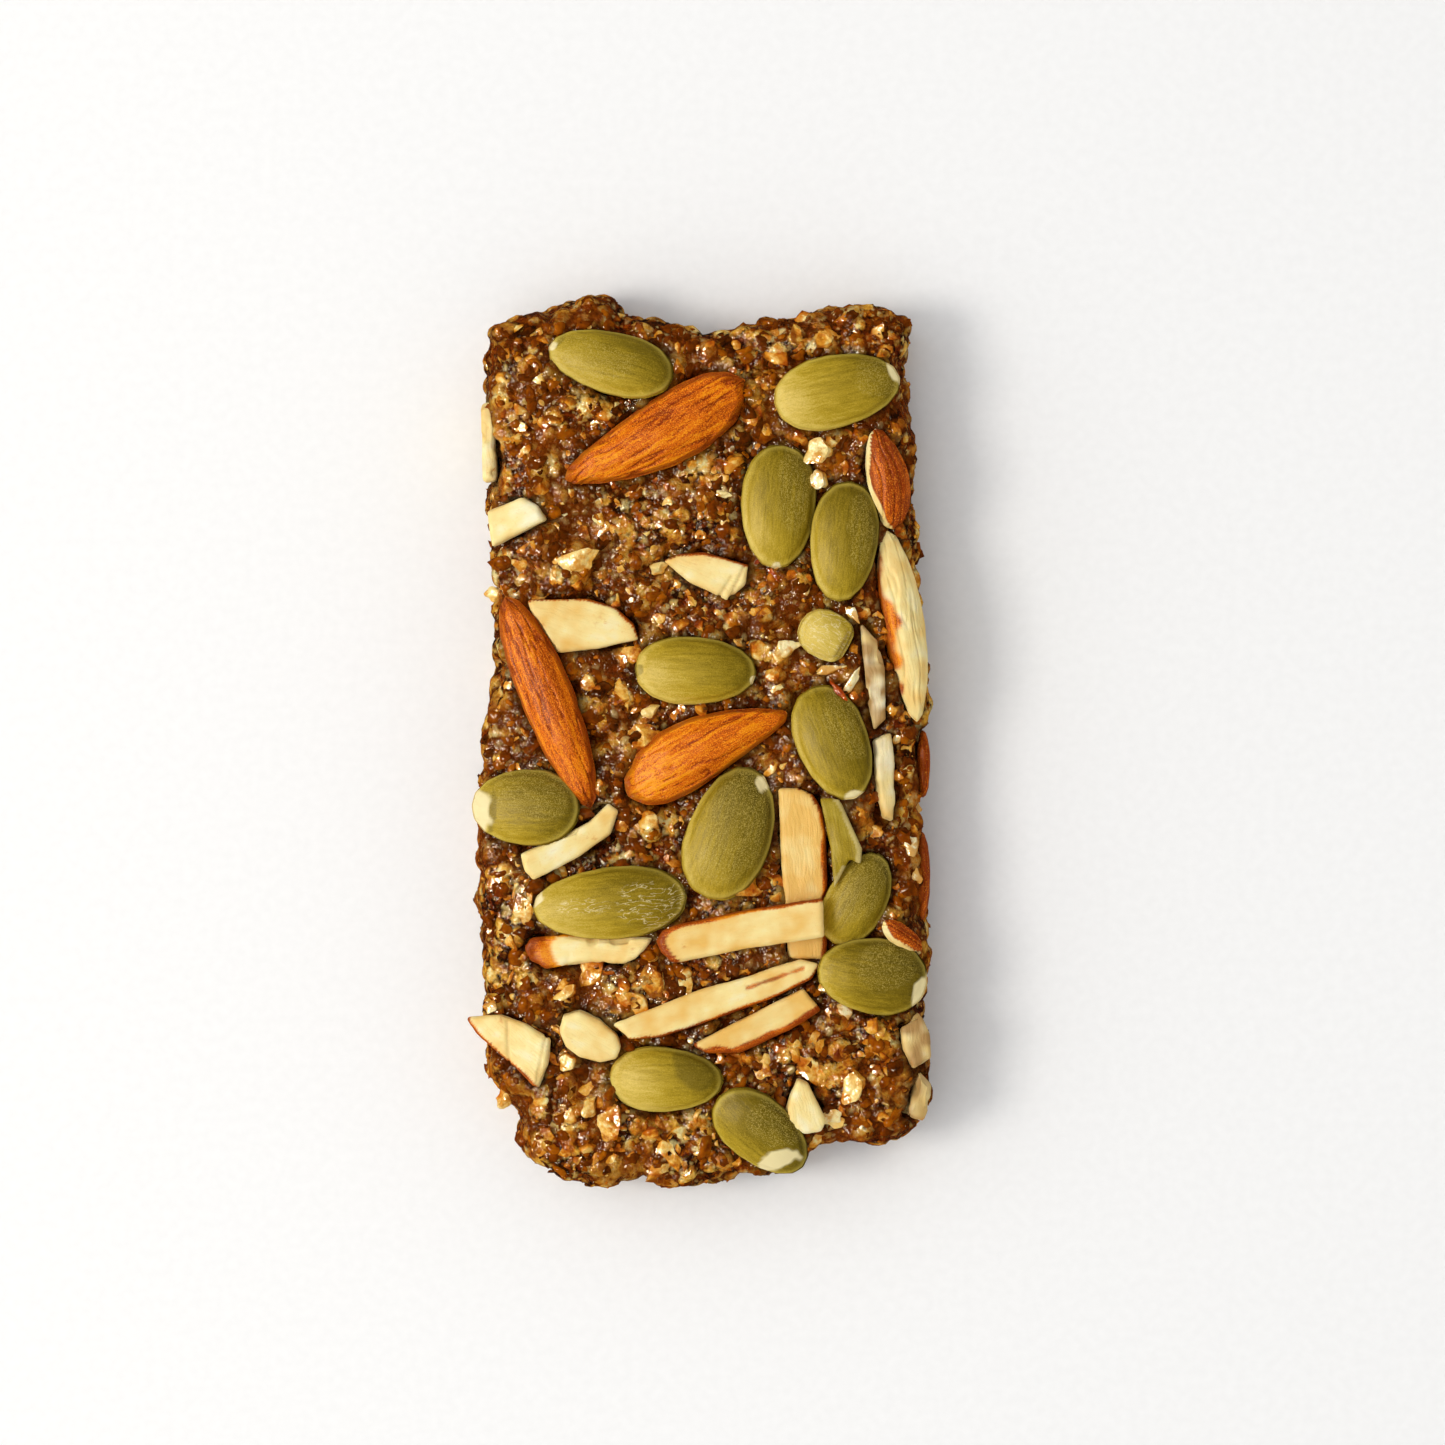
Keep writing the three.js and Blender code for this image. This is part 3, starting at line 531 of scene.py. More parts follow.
# %% Almond: orange-brown skin with dark wavy grooves, and cream flesh where it is cut
almond_look, tree, surface = new_finish(
    "almond", Specular_IOR_Level=0.07, Subsurface_Weight=0.08, Subsurface_Radius=(1.0, 0.5, 0.2),
    Subsurface_Scale=0.8 * MM)
own = layer(tree, "own", "Vector")
lines = use(tree, fibres, Vector=own, Along=0.1, Across=1.1, Wander=0.8)
grain = use(tree, dust, Vector=own, Size=0.14, Amount=0.5)
tone = sway(tree, layer(tree, "glow"), lines["Coarse"], 1.2)
tone = sway(tree, tone, lines["Fine"], 0.5)
tone = sway(tree, tone, grain["Height"], 1.5)
tone = times(tree, layer(tree, "groove"), -0.4, tone)
tone = times(tree, lines["Line"], -0.25, tone)
skin = ramp(tree, tone, [(0.1, SKIN_DARK), (0.5, SKIN_RUST), (0.85, SKIN_ORANGE)])
skin = tinted(tree, skin, SKIN_DUST, grain["Mask"], 0.5)
skin = tinted(tree, skin, SKIN_EDGE, layer(tree, "rim"), 0.7)
cut = use(tree, fibres, Vector=own, Along=0.35, Across=0.7, Wander=0.8)
pores = use(tree, dust, Vector=own, Size=0.35, Amount=0.4)
blotch = noise(tree, own, 0.4, 1.0)[0]
warm = times(tree, cut["Coarse"], 0.45, layer(tree, "tone"))
warm = sway(tree, warm, blotch, 1.1)
flesh = ramp(tree, warm, [(0.05, FLESH_PALE), (0.35, FLESH_CREAM), (0.85, FLESH_WARM)])
flesh = tinted(tree, flesh, FLESH_WARM, pores["Mask"], 0.25)
flesh = blend(tree, layer(tree, "worn"), flesh, FLESH_WORN)
flesh = tinted(tree, flesh, SYRUP_AMBER, layer(tree, "stain"), band(tree, cut["Fine"], 0.52, 0.72))
feed(tree, surface["Base Color"], blend(tree, layer(tree, "skin"), flesh, skin))
feed(tree, surface["Roughness"], times(tree, grain["Height"], 0.35, 0.3))
add_bump(tree, surface, times(tree, grain["Height"], 0.35, lines["Fine"]), 0.1)
print("finishes:", len(bpy.data.materials))

# %% [markdown]
# ## The sticky slab
# The real slab is flakes and granules pressed together with syrup. Its body could be
# sculpted by hand, but a copy of the solid is quicker and keeps its form: its loose
# triangles are merged, remeshed into even small faces and pushed out a little, so that it
# closes up to the toppings. Noise of two sizes roughens it, pits are sunk into it, and
# thousands of granules swell under its surface.

# %% A merged copy of a solid
def copy_of(node, name):
    piece = add_object(name, nodes[node].data.copy())
    pick(piece)
    bpy.ops.object.mode_set(mode="EDIT")
    bpy.ops.mesh.select_all(action="SELECT")
    bpy.ops.mesh.remove_doubles(threshold=0.001 * MM)
    bpy.ops.object.mode_set(mode="OBJECT")
    return piece


def dress(piece, finish, node=None):
    """Gives a piece its material and its body, and hides its solid."""
    piece.data.materials.clear()
    piece.data.materials.append(finish)
    pick(piece)
    bpy.ops.object.shade_smooth()
    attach(piece, "root")
    if node:
        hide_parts(node)


# %% Random seats on a surface
def surface_seats(piece, count, random):
    corners, slopes = spots_of(piece)
    faces = faces_of(piece)
    area = areas(corners[faces])
    picked = random.choice(len(faces), count, p=area / area.sum())
    share = random.random((count, 2))
    fold = share.sum(axis=1) > 1
    share[fold] = 1 - share[fold]
    parts = np.column_stack([1 - share.sum(axis=1), share])
    places = (corners[faces[picked]] * parts[:, :, None]).sum(axis=1)
    normals = (slopes[faces[picked]] * parts[:, :, None]).sum(axis=1)
    return places, normals / np.linalg.norm(normals, axis=1)[:, None]


# %% Granules that swell under the syrup
def press_granules(spots, seats, reach, tones):
    """For each point the nearest granule's height, its tone and how near its middle it is."""
    tree = KDTree(len(seats))
    for i, seat in enumerate(seats):
        tree.insert(seat, i)
    tree.balance()
    height, tone, dome = (np.zeros(len(spots)) for _ in range(3))
    for i, spot in enumerate(spots):
        for _, j, away in tree.find_n(spot, 3):
            middle = 1 - (away / reach[j]) ** 2
            if middle * reach[j] > height[i]:
                height[i], tone[i], dome[i] = middle * reach[j], tones[j], middle
    return height, tone, dome


# %% Remesh and roughen the slab
SLAB_FACE = 0.4
SLAB_SWELL = 0.08
SLAB_LUMPS = ((0.26, 1.7), (0.14, 0.8))
PIT_DEPTH = 0.6
PIT_BREADTH = 2.8
GRANULES = 2400
GRANULE_REACH = (0.7, 1.8)
GRANULE_RELIEF = 0.38
FLOOR_CLEAR = 0.03

core = copy_of("granola_slab", "sticky_core")
apply_modifier(core, "REMESH", mode="VOXEL", voxel_size=SLAB_FACE * MM)
random = np.random.default_rng(SEED_OF_ALL)
seats, _ = surface_seats(core, GRANULES, random)
reach = random.uniform(*GRANULE_REACH, GRANULES)
spots, out = spots_of(core)
height, tone, dome = press_granules(spots, seats, reach, random.random(GRANULES))
lumps = clouds(spots, SLAB_LUMPS, 1)
lumps -= PIT_DEPTH * fade(cloud(spots, PIT_BREADTH, 3), 0.15, 0.8)
spots += out * (SLAB_SWELL + lumps + GRANULE_RELIEF * height)[:, None]
spots[:, 2] = np.maximum(spots[:, 2], FLOOR_CLEAR)
set_spots(core, spots)
paint(core, tone=tone, dome=dome)
dress(core, slab_finish, "granola_slab")
print("slab triangles:", 2 * len(core.data.polygons))

# %% [markdown]
# ## Pumpkin seeds
# A pumpkin seed is a flat oval with a thin raised rim and a blunt tip. It starts as a ball
# with its poles at the seed's two ends, so that its rings run round the seed. The ball is
# shrink-wrapped onto the solid, smoothed, and its rim is then raised. Marks such as a
# peeled tip or a dusty patch are painted on its points by their place.

# %% The side on which light is painted paler
PAINTED_LIGHT_SIDE = (-0.87, -0.5, 0.0)


def painted_lit_side(out, offset, reach):
    """Painted light: from -1 on the shaded side to 1 on the lit side, half by slope, half by place.
    """
    return 0.5 * (out @ PAINTED_LIGHT_SIDE + np.clip(offset @ PAINTED_LIGHT_SIDE / reach, -1, 1))


# %% A ball wrapped onto a solid, with the solid's own directions painted on
A_LITTLE_LARGER = (1.06, 1.1, 1.02)


def wrap(node, name, around, rings, soften):
    centre, axes, half = own_axes(node)
    length, width, outward = axes
    turned = Matrix(np.stack([width, outward, length], axis=1)).to_euler()
    piece = add_primitive(bpy.ops.mesh.primitive_uv_sphere_add, segments=around,
                          ring_count=rings, radius=1, location=centre, rotation=turned)
    piece.name = name
    unit = points_of(piece)[:, [2, 0, 1]]
    piece.scale = half[[1, 2, 0]] * A_LITTLE_LARGER
    bpy.ops.object.transform_apply(location=True, rotation=True, scale=True)
    apply_modifier(piece, "SHRINKWRAP", target=nodes[node], wrap_method="NEAREST_SURFACEPOINT")
    apply_modifier(piece, "SMOOTH", factor=0.5, iterations=soften)
    paint(piece, own=unit * half / MM)
    return piece, unit, centre / MM, axes


def heading(direction):
    """A direction in degrees from +X, and the one square to it, in the plane of the bar."""
    turn = math.radians(direction)
    return (math.cos(turn), math.sin(turn)), (-math.sin(turn), math.cos(turn))


def blot(spots, salt, at, reach, direction=0.0, stretch=1.0):
    """A patch with a ragged edge: 1 inside, 0 outside. at and reach are in millimetres."""
    ahead, beside = heading(direction)
    offset = spots[:, :2] - at
    away = np.hypot(offset @ ahead / stretch, offset @ beside) / reach
    away += 0.3 * cloud(spots, 0.8 * reach, 40 + salt)
    return fade(away, 1.1, 0.85)


# %% The look of each seed
# For each seed from 1 on: its tone from dark to light, then its marks. Each mark: kind,
# place in the bar and reach, and for a long one its direction and stretch.
SEED_LOOKS = [
    (0.58, [("pale", (-16.6, 44.4), 0.6), ("dark", (-15.6, 45.0), 0.35, 60, 3),
            ("scuff", (-12, 43), 2.5, -10, 2)]),
    (0.64, [("pale", (22.3, 41.6), 1.0, -60, 1.5), ("scuff", (20, 41), 2.2, 0, 1.4)]),
    (0.57, [("scuff", (10.7, 28.3), 2.0, 90, 2.4), ("pale", (8.6, 19.6), 0.5)]),
    (0.46, [("scuff", (18.2, 23.0), 1.5, 90, 3)]),
    (0.46, [("pale", (17.3, -6.2), 0.8, 20, 1.6), ("scuff", (16.2, 2), 2.0, 110, 2)]),
    (0.6, [("pale", (6.1, 6.9), 0.5), ("dark", (-7.0, 8.0), 0.6, 40, 1.4)]),
    (0.48, [("pale", (-25.0, -7.6), 1.6, 90, 1.7), ("dark", (-23.2, -7.8), 0.45, 85, 5),
            ("scuff", (-19.0, -5.6), 3.0, 0, 1.7)]),
    (0.6, [("scratch", (-5.5, -18.0), 2.6, 0, 1.5), ("scratch", (-13.0, -18.4), 0.8, 0, 4),
           ("pale", (-18.2, -17.6), 0.7, 60, 1.4)]),
    (0.45, [("pale", (7.3, -4.6), 0.9, 40, 1.3), ("scuff", (4.2, -9.5), 3.6, 70, 1.8)]),
    (0.44, [("scuff", (18, -16), 2.6, 60, 1.8)]),
    (0.42, [("pale", (25.0, -28.2), 1.0, 80, 2.2), ("scuff", (21, -25), 2.4, 0, 1.5)]),
    (0.66, [("dark", (-0.2, -36.7), 2.3, -20, 1.2), ("dark", (-2.0, -35.4), 1.1)]),
    (0.4, [("pale", (8.9, -46.8), 1.1, 20, 2.4), ("scuff", (8.5, -43), 2.2, -40, 1.6)]),
]
STUMP_LOOK = (0.9, [("scuff", (14.7, 11.7), 4.0), ("scratch", (14.7, 11.7), 4.0)])

RIM_ANGLE = 18.0
FURROW_ANGLE = 32.0
HALF_ANGLE = 6.0
RIM_HEIGHT = 0.16
FURROW_DEPTH = 0.09
SEED_CROWN = 0.6
SEED_SWELL = ((0.1, 4.5), (0.035, 1.4))


# %% Shape and paint one seed
def make_seed(node, name, salt, tone, marks):
    piece, unit, centre, axes = wrap(node, name, 96, 72, 10)
    spots, out = spots_of(piece)
    rise = np.degrees(np.arcsin(np.clip(np.abs(unit[:, 2]), 0, 1)))
    rim, furrow = (np.exp(-(((rise - angle) / HALF_ANGLE) ** 2))
                   for angle in (RIM_ANGLE, FURROW_ANGLE))
    swell = clouds(spots, SEED_SWELL, salt)
    spots += out * (RIM_HEIGHT * rim - FURROW_DEPTH * furrow + swell)[:, None]
    crown = fade(unit[:, 2], 0.0, 0.4) * (1 - np.hypot(unit[:, 0], unit[:, 1]) ** 2)
    spots += axes[2] * (SEED_CROWN * (crown - 0.4 * (unit[:, 2] > 0)))[:, None]
    set_spots(piece, spots)
    # The tone is also painted paler on the side towards the light and darker on the side away from
    # it: painted light and shade.
    tone += 0.08 * cloud(spots, 5.0, salt + 3) + 0.4 * painted_lit_side(out, spots - centre, 5)
    uneven = 0.5 + 0.5 * cloud(spots, 2.0, salt + 2)
    masks = {}
    for index, (kind, *patch) in enumerate(marks):
        masks[kind] = np.maximum(masks.get(kind, 0), blot(spots, index, *patch))
    paint(piece, tone=tone, rim=rim * (0.25 + 0.7 * uneven), **masks)
    dress(piece, seed_finish, node)
    return piece


toppings = [make_seed(f"pumpkin_seed_{number:02d}", f"seed_{number:02d}", 3 * number, *look)
            for number, look in enumerate(SEED_LOOKS, 1)]
toppings.append(make_seed("pumpkin_seed_stump", "seed_stump", 50, *STUMP_LOOK))
print("seeds:", len(toppings))

# %% [markdown]
# ## Almonds with their skin
# A half almond lies with its brown skin up. The skin is drawn into wavy grooves that run
# from end to end, so the wrapped ball gets real furrows from noise that is stretched along
# the piece, and the same furrows are painted on it for the colour.

# %% A band along the edge of a piece that faces one way
COLUMN = 0.4
RAGGED = 0.35


def edge_band(spots, salt, direction, reach):
    """1 within reach millimetres of the piece's edge on that side, in degrees from +X."""
    ahead, beside = heading(direction)
    facing = spots[:, :2] @ ahead
    column = np.round(spots[:, :2] @ beside / COLUMN).astype(int)
    column -= column.min()
    edge = np.full(column.max() + 1, -np.inf)
    np.maximum.at(edge, column, facing)
    depth = edge[column] - facing + RAGGED * reach * cloud(spots, 1.5, 70 + salt)
    return fade(depth, 1.15 * reach, 0.85 * reach)


# %% Shape and paint one almond
GROOVE_DEPTH = 0.22
ALMOND_SWELL = 0.06


def make_almond(node, name, salt, glow, cut_edge=None):
    piece, unit, centre, axes = wrap(node, name, 120, 90, 6)
    spots, out = spots_of(piece)
    own = (spots - centre) @ axes.T
    wavy = own + 0.5 * cloud(own, 4.0, salt)[:, None] * (0, 1, 0)
    veins = cloud(wavy * (0.11, 1.1, 0.4), 1.0, salt + 1)
    veins += 0.5 * cloud(wavy * (0.22, 2.4, 0.8), 1.0, salt + 2)
    groove = fade(np.abs(veins), 0.15, 0.0)
    top = fade(out @ axes[2], 0.0, 0.35)
    move = ALMOND_SWELL * cloud(spots, 1.3, salt + 3) - GROOVE_DEPTH * groove * top
    set_spots(piece, spots + out * move[:, None])
    # The skin is also painted a little paler on the side towards the light: painted light.
    glow += 0.09 * painted_lit_side(out, spots - centre, 8) + 0.1 * cloud(spots, 4.0, salt + 4)
    bare = edge_band(spots, salt, *cut_edge) if cut_edge else 0
    paint(piece, groove=groove, rim=fade(np.abs(unit[:, 2]), 0.5, 0.05), skin=1 - bare,
          glow=glow, tone=0.2)
    dress(piece, almond_look, node)
    return piece


# Each: node, name, salt, how bright its skin is, and the side where it shows its flesh.
ALMONDS = [
    ("almond_half_1", "almond_1", 10, 0.57),
    ("almond_half_2", "almond_2", 20, 0.45),
    ("almond_half_3", "almond_3", 30, 0.63),
    ("almond_edge_1", "almond_side_1", 70, 0.22, (200, 0.5)),
    ("almond_edge_2", "almond_side_2", 80, 0.56, (10, 3.2)),
    ("almond_edge_3", "almond_side_3", 90, 0.3, (215, 0.6)),
    ("almond_wall_1", "almond_in_wall_1", 100, 0.12),
    ("almond_wall_2", "almond_in_wall_2", 110, 0.12),
]
toppings += [make_almond(*almond) for almond in ALMONDS]

# %% [markdown]
# ## Slivers and chips of almond
# Slivers are knife-cut, with flat faces and eased edges. A copy of each solid is remeshed
# very finely, which keeps the cut faces, then softened and given the low ripple of a
# knife cut. A few are torn, worn or cracked. Where a strip of brown skin was left on an
# edge, it is painted there.

# %% Shape and paint one sliver
# tone goes from pale to warm, and strips of skin are (direction, width). torn is a depth in
# millimetres, worn how brown a face is, smoothed how many rounds of smoothing it gets.
# cracks go from place to place, painted_gap_shade is how far dark skin colour is painted into them as
# the shade of the gap, and brightens how much the skin gains along the bar in a millimetre.
SLIVER_LOOKS = {
    "sliver_cross": dict(tone=0.32, strips=[(112, 0.35), (180, 1.0)]),
    "sliver_slab": dict(tone=0.52, strips=[(0, 0.5)]),
    "sliver_blade": dict(tone=0.26, strips=[(-62, 0.3)], painted_gap_shade=0.8,
                         cracks=[((5.4, -27.5), (11.6, -25.3))]),
    "sliver_low": dict(tone=0.5, strips=[(-70, 0.7)]),
    "sliver_round": dict(tone=0.2, strips=[(60, 0.25)]),
    "sliver_stick": dict(tone=0.2),
    "sliver_under": dict(tone=0.16, strips=[(180, 3.0)], torn=0.3, brightens=0.3),
    "sliver_corner": dict(tone=0.16),
    "sliver_wedge": dict(tone=0.22, strips=[(80, 0.3)],
                         cracks=[((3.6, 18.5), (1.8, 15.6)), ((5.0, 19.6), (3.4, 16.0))]),
    "sliver_pale": dict(tone=-0.05, torn=0.45, worn=1.7),
    "sliver_narrow": dict(tone=0.12, torn=0.2, worn=0.4),
    "sliver_wall": dict(tone=0.2, torn=0.5, worn=0.3, smoothed=16),
    "chip_overhang": dict(tone=0.25, strips=[(215, 0.3)],
                          cracks=[((-21.5, -31.2), (-21.2, -37.4)),
                                  ((-17.2, -33.0), (-18.3, -38.6))]),
    "chip_nugget": dict(tone=0.24),
    "chip_small": dict(tone=0.24),
    "chip_edge_1": dict(tone=0.15, torn=0.5, worn=1.4),
    "chip_edge_2": dict(tone=0.2, torn=0.5, worn=1.2),
}
SLIVER_FACE = 0.2
SLIVER_SWELL = 0.06
CRACK_DEPTH = 0.17


def crack_line(spots, start, end):
    """1 on the line from start to end, 0 beside it."""
    way = np.subtract(end, start)
    share = np.clip((spots[:, :2] - start) @ way / (way @ way), 0, 1)
    away = np.linalg.norm(spots[:, :2] - start - share[:, None] * way, axis=1)
    return fade(away + 0.1 * cloud(spots, 0.8, 9), 0.25, 0.05)


def soft_copy(node, name, face, soften):
    """A remeshed, softened copy of a solid, with the solid's own directions painted on."""
    piece = copy_of(node, name)
    apply_modifier(piece, "REMESH", mode="VOXEL", voxel_size=face * MM)
    apply_modifier(piece, "SMOOTH", factor=0.5, iterations=soften)
    centre, axes, half = own_axes(node)
    own = (points_of(piece) - centre) @ axes.T / MM
    paint(piece, own=own)
    return piece, own, axes[2], half[2] / MM


def make_sliver(node, salt, tone, strips=(), torn=0, worn=0, smoothed=2, cracks=(), painted_gap_shade=0,
                brightens=0):
    piece, own, _, half_height = soft_copy(node, node + "_cut", SLIVER_FACE, smoothed)
    spots, out = spots_of(piece)
    ripple = 0.07 * cloud(own * (0.35, 1.0, 1.0), 1.2, salt) + 0.03 * cloud(spots, 0.6, salt + 1)
    ripple -= torn * fade(cloud(spots, 1.3, salt + 4), 0.0, 0.8)
    crack = sum((crack_line(spots, *ends) for ends in cracks), np.zeros(len(spots)))
    ripple -= CRACK_DEPTH * crack
    set_spots(piece, spots + out * (SLIVER_SWELL + ripple)[:, None])
    # Dark skin colour painted into a crack stands for the shade in its gap.
    skin = painted_gap_shade * crack
    edge = np.zeros(len(spots))
    for index, (direction, reach) in enumerate(strips):
        skin = np.maximum(skin, edge_band(spots, salt + index, direction, reach))
        edge = np.maximum(edge, edge_band(spots, salt + index, direction, 0.5 * reach))
    brighter = brightens * (spots[:, 0] - spots[:, 0].min() - 1)
    browned = worn * (0.5 + 0.5 * cloud(spots, 1.2, salt + 6))
    soaked = 0.5 * fade(cloud(spots, 1.6, salt + 3), 0.5, 0.8)
    # Cracks are also painted browner: painted shade in them.
    paint(piece, skin=skin, rim=0.3 * skin + 0.7 * edge,
          tone=tone + 0.12 * cloud(spots, 4.0, salt + 2),
          glow=0.3 + 0.4 * cloud(spots, 2.0, salt + 5) + brighter,
          worn=np.maximum(browned, 0.3 * crack),
          stain=np.maximum(fade(own[:, 2], 0.1, -half_height), soaked))
    dress(piece, almond_look, node)
    return piece


toppings += [make_sliver(node, 200 + 7 * index, **look)
             for index, (node, look) in enumerate(SLIVER_LOOKS.items())]

# %% The loose flap of seed skin
FLAP_FACE = 0.18
CREASE = 0.3

flap, own, upward, _ = soft_copy("seed_skin", "skin_flap", FLAP_FACE, 2)
spots, _ = spots_of(flap)
crease = CREASE * cloud(own * (0.5, 1, 0), 1.4, 301)
set_spots(flap, spots + crease[:, None] * upward)
paint(flap, tone=0.55, rim=0.35 * fade(np.abs(cloud(spots, 2.2, 302)), 0.2, 0.0),
      pale=0.35 * edge_band(spots, 303, 0, 0.6), scuff=fade(cloud(spots, 1.5, 304), 0.0, 0.5))
dress(flap, seed_finish, "seed_skin")
toppings.append(flap)
print("toppings:", len(toppings))

# %% [markdown]
# ## Grains, flakes and crumbs
# Thousands of small pieces stick to the slab. Particles would be lost in an export, so
# they are joined meshes: a few uneven master shapes are modelled once, and copied to
# random seats on the slab's surface, turned to lie on it and sunk a little. Large ones are
# seated first, and a new one is skipped where it would crowd another or poke through a
# topping.

# %% Master shapes
def master_shape(detail, stretch, dent, breaks, salt):
    """A ball that is stretched, dented and broken flat on some sides."""
    piece = add_primitive(bpy.ops.mesh.primitive_ico_sphere_add, subdivisions=detail, radius=1)
    spots = points_of(piece)
    random = np.random.default_rng(salt)
    for _ in range(breaks):
        facing = random.normal(size=3)
        facing /= np.linalg.norm(facing)
        beyond = np.maximum(spots @ facing - random.uniform(0.45, 0.8), 0)
        spots -= beyond[:, None] * facing
    spots *= (1 + dent * cloud(spots, 0.7, salt))[:, None]
    spots *= stretch
    faces = faces_of(piece)
    bpy.data.objects.remove(piece)
    return spots, faces


def masters_of(detail, stretch, dent, breaks, salt):
    return [master_shape(detail, stretch, dent, breaks, salt + i) for i in range(MASTERS)]


MASTERS = 9
nugget_masters = masters_of(2, (1.0, 0.85, 0.65), 0.4, 6, 400)
flake_masters = masters_of(2, (1.0, 0.75, 0.28), 0.8, 5, 420)
crumb_masters = masters_of(1, (1.0, 0.75, 0.65), 0.5, 2, 440)
drop_masters = masters_of(2, (1.0, 0.72, 0.38), 0.9, 0, 480)
big_masters = masters_of(3, (1.0, 1.0, 1.0), 0.45, 6, 460)


# %% Keep pieces apart
class Crowd:
    """Remembers where pieces sit, to keep new ones apart."""

    def __init__(self, cell):
        self.cell = cell
        self.boxes = {}

    def has_room(self, place, reach, apart):
        home = tuple(int(math.floor(v / self.cell)) for v in place)
        for step in np.ndindex(3, 3, 3):
            box = tuple(h + s - 1 for h, s in zip(home, step))
            for other, other_reach in self.boxes.get(box, ()):
                if math.dist(place, other) < apart * (reach + other_reach):
                    return False
        self.boxes.setdefault(home, []).append((place, reach))
        return True


def tree_of(pieces):
    corners, faces = [], []
    for piece in pieces:
        offset = len(corners)
        corners.extend(Vector(p) for p in spots_of(piece)[0])
        faces.extend(tuple(offset + v for v in face.vertices) for face in piece.data.polygons)
    return BVHTree.FromPolygons(corners, faces)


topping_tree = tree_of(toppings)
ground_tree = tree_of([core] + toppings)
UP = Vector((0, 0, 1))
POOLED_SHADE_REACH = 1.3
TOPPINGS_ABOVE = 12
WALL_FOOT = 4


def pool_near(spot):
    """How much dark syrup lies at a spot, with painted contact shade: 1 beside a topping, 0 away from
    all.
    """
    away = topping_tree.find_nearest(Vector(spot), POOLED_SHADE_REACH)[3]
    return 0 if away is None else (1 - away / POOLED_SHADE_REACH) ** 0.7


# The slab is painted darker beside the toppings: gathered syrup, and painted contact shade with it.
paint(core, pool=[pool_near(spot) for spot in spots_of(core)[0]])


# %% Where a grain can show
def is_open(place, reach):
    """True where a grain is neither under a topping nor inside one."""
    spot = Vector(place)
    if topping_tree.ray_cast(spot, UP, TOPPINGS_ABOVE)[0] is not None and spot.z > WALL_FOOT:
        return False
    return topping_tree.find_nearest(spot, reach)[0] is None


# %% Join many small shapes into one piece
CRISP_ANGLE = 30


def join_bits(name, bits, finish):
    """bits: points in millimetres, triangles, tone, and how deep each point lies in syrup, with
    painted shade at the foot.
    """
    corners, faces, tone, sunk = [], [], [], []
    offset = 0
    for spots, triangles, own_tone, depth in bits:
        corners.append(spots)
        faces.append(triangles + offset)
        tone.append(np.full(len(spots), own_tone))
        sunk.append(depth)
        offset += len(spots)
    spots = np.concatenate(corners)
    spots[:, 2] = np.maximum(spots[:, 2], FLOOR_CLEAR)
    mesh = bpy.data.meshes.new(name)
    mesh.from_pydata((spots * MM).tolist(), [], np.concatenate(faces).tolist())
    piece = add_object(name, mesh)
    paint(piece, tone=np.concatenate(tone), sunk=np.concatenate(sunk))
    dress(piece, finish)
    if finish is not syrup_look:
        bpy.ops.object.shade_smooth_by_angle(angle=math.radians(CRISP_ANGLE))
    print(name, "pieces:", len(bits), "triangles:", len(mesh.polygons))


# A grain's lower points are browner: syrup at its foot, and painted shade there too.
def syrup_and_shade_at_foot(shape):
    return np.clip(0.7 - shape[:, 2] / np.abs(shape[:, 2]).max(), -0.2, 1)


def turned_to(up, side):
    """Three directions of a piece that stands along up and points about towards side."""
    up = up / np.linalg.norm(up)
    side = side - (side @ up) * up
    side /= np.linalg.norm(side)
    return np.stack([side, np.cross(up, side), up])


# %% Scatter one kind of grain
SMALL_ONES = 1.8
UNEVEN_SIZE = (0.8, 1.15)
UNEVEN_TONE = 0.12
LIFT = 0.3
CLEARANCE = 0.45
WALL_SINK = 0.3
STEEP = 0.75
LARGE = 1.1
UNDERSIDE = 0.6
UNDERSIDE_SHARE = 0.3


def scatter(name, masters, count, sizes, apart, sink, flat, finish, tones, salt):
    random = np.random.default_rng(SEED_OF_ALL + salt)
    places, normals = surface_seats(core, 3 * count, random)
    reach = sizes[0] + (sizes[1] - sizes[0]) * random.random(len(places)) ** SMALL_ONES
    steep = np.abs(normals[:, 2]) < STEEP
    kept = []
    for i in np.argsort(-reach):
        if len(kept) == count:
            break
        if steep[i] and reach[i] > LARGE:
            continue
        if places[i][2] < UNDERSIDE and random.random() > UNDERSIDE_SHARE:
            continue
        if not is_open(places[i] + normals[i] * LIFT * reach[i], CLEARANCE * reach[i]):
            continue
        if crowd.has_room(tuple(places[i]), reach[i], apart):
            kept.append(i)
    bits = []
    for i in kept:
        shape, triangles = masters[random.integers(len(masters))]
        up = normals[i] + flat * random.normal(size=3)
        turned = turned_to(up, np.cross(up, random.normal(size=3)))
        size = reach[i] * random.uniform(*UNEVEN_SIZE, 3)
        depth = sink - WALL_SINK * steep[i]
        spots = places[i] + normals[i] * (depth * reach[i]) + (shape * size) @ turned
        tone = random.choice(tones) + random.uniform(-UNEVEN_TONE, UNEVEN_TONE)
        # Browner at the foot and beside toppings: syrup, and painted shade with it.
        sunk = syrup_and_shade_at_foot(shape) + 0.5 * pool_near(places[i])
        bits.append((spots, triangles, tone, sunk))
    join_bits(name, bits, finish)


